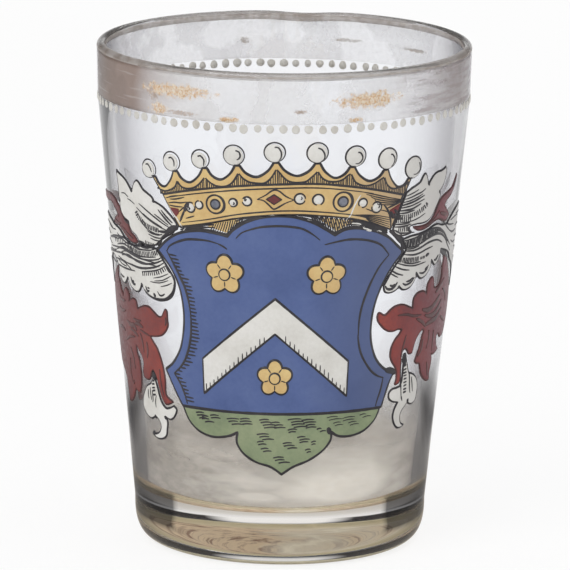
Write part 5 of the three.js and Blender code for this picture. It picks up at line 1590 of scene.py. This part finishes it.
def make_world():
    """A white background and soft light. The glass also sees a grey sky and four dark cards."""
    world = bpy.data.worlds.new("studio")
    bpy.context.scene.world = world
    world.use_nodes = True
    world.node_tree.nodes.clear()
    room = Nodes(world.node_tree)
    across, along, up = room.axes(room.node("TexCoord").outputs["Generated"])
    sky = room.ramp(up, (0.12, 1.0), (0.3, (96, 104, 112)))
    # The cards stand low down at the corners of the room and give the clear glass its dark edges.
    corner = room.ramp(room.most(room.size(across), room.size(along)), (0.93, 1.0), (0.975, 0.0))
    low = room.ramp(up, (0.0, 0.0), (0.02, 1.0), (0.3, 1.0), (0.4, 0.0))
    walls = room.mix(room.times(corner, low), sky, CARD)
    path = room.node("LightPath").outputs
    seen = room.mix(path["Is Camera Ray"], walls, PAPER)
    seen = room.node("Background", {"Color": seen, "Strength": 1.0})
    light = room.node("Background", {"Color": PAPER, "Strength": ROOM_LIGHT})
    share = room.most(*(path[f"Is {kind} Ray"] for kind in ("Camera", "Glossy", "Transmission")))
    room.node("OutputWorld", {0: room.mix_shaders(share, light, seen)})


def floor_material():
    """White paper. Through the glass it shows the shade that gathers round the foot, and painted warm light
    under it.
    """
    shade = Shade("pale_floor")
    shade.set(Base_Color=(254, 254, 254), Roughness=0.8)
    far = shade.node("VectorMath", {0: shade.place}, operation="LENGTH").outputs["Value"]
    # Painted warm light right under the foot, then painted shade that fades out away from it.
    tone = shade.ramp(
        far, (0.026, (255, 248, 228)), (0.032, (168, 160, 150)), (0.05, (176, 170, 162)),
        (0.08, (212, 208, 203)), (0.12, (234, 233, 231)), (0.16, (243, 243, 244)), (0.8, (252, 252, 253)),
    )
    across, along = (shade.size(value) for value in shade.axes(shade.place)[:2])
    # More painted shade: darker patches at the corners and to either side, close round the foot.
    corner = shade.ramp(shade.calc("MINIMUM", across, along), (0.045, 0.0), (0.065, 1.0))
    near = shade.ramp(far, (0.12, 1.0), (0.16, 0.0))
    tone = shade.mix(shade.times(corner, near), tone, (96, 94, 94))
    beside = shade.ramp(across, (0.036, 0.0), (0.046, 1.0), (0.085, 1.0), (0.12, 0.0))
    beside = shade.times(beside, shade.ramp(along, (0.05, 1.0), (0.085, 0.0)))
    tone = shade.mix(beside, tone, (138, 135, 132))
    path = shade.node("LightPath").outputs
    direct = path["Is Camera Ray"]
    glow = shade.node("Emission", {"Color": shade.mix(direct, tone, PAPER), "Strength": 1.0})
    through = shade.most(path["Is Glossy Ray"], path["Is Transmission Ray"])
    share = shade.most(shade.times(direct, 0.8), through)
    shade.feed(shade.output.inputs["Surface"], shade.mix_shaders(share, shade.surface, glow))
    return shade.material


def make_floor():
    mesh = bpy.data.meshes.new("floor")
    edge = ellipse(0, 0, FLOOR_RADIUS, FLOOR_RADIUS, FLOOR_STEPS)
    mesh.from_pydata([(x, y, 0) for x, y in edge], [], [tuple(range(FLOOR_STEPS))])
    mesh.materials.append(floor_material())
    floor = link("floor", mesh)
    floor.location.z = -FLOOR_GAP * MM


def make_lamps():
    for name, (*place, watts) in LAMPS.items():
        data = bpy.data.lights.new(name, "AREA")
        data.size = LAMP_SIZE
        data.energy = watts
        lamp = link(name, data)
        lamp.location = place
        lamp.rotation_mode = "QUATERNION"
        lamp.rotation_quaternion = (LAMP_AIM - Vector(place)).to_track_quat("-Z", "Y")


make_camera()
make_world()
make_floor()
make_lamps()
bpy.context.scene.view_settings.view_transform = "Standard"
make_glass()
make_foot_wear_and_light()
make_inside_haze_and_shade()
make_gilding()
make_lip()
make_beads()
make_coronet()
make_shield()
draw_coronet()
draw_shield()
make_mantling()
draw_wear()
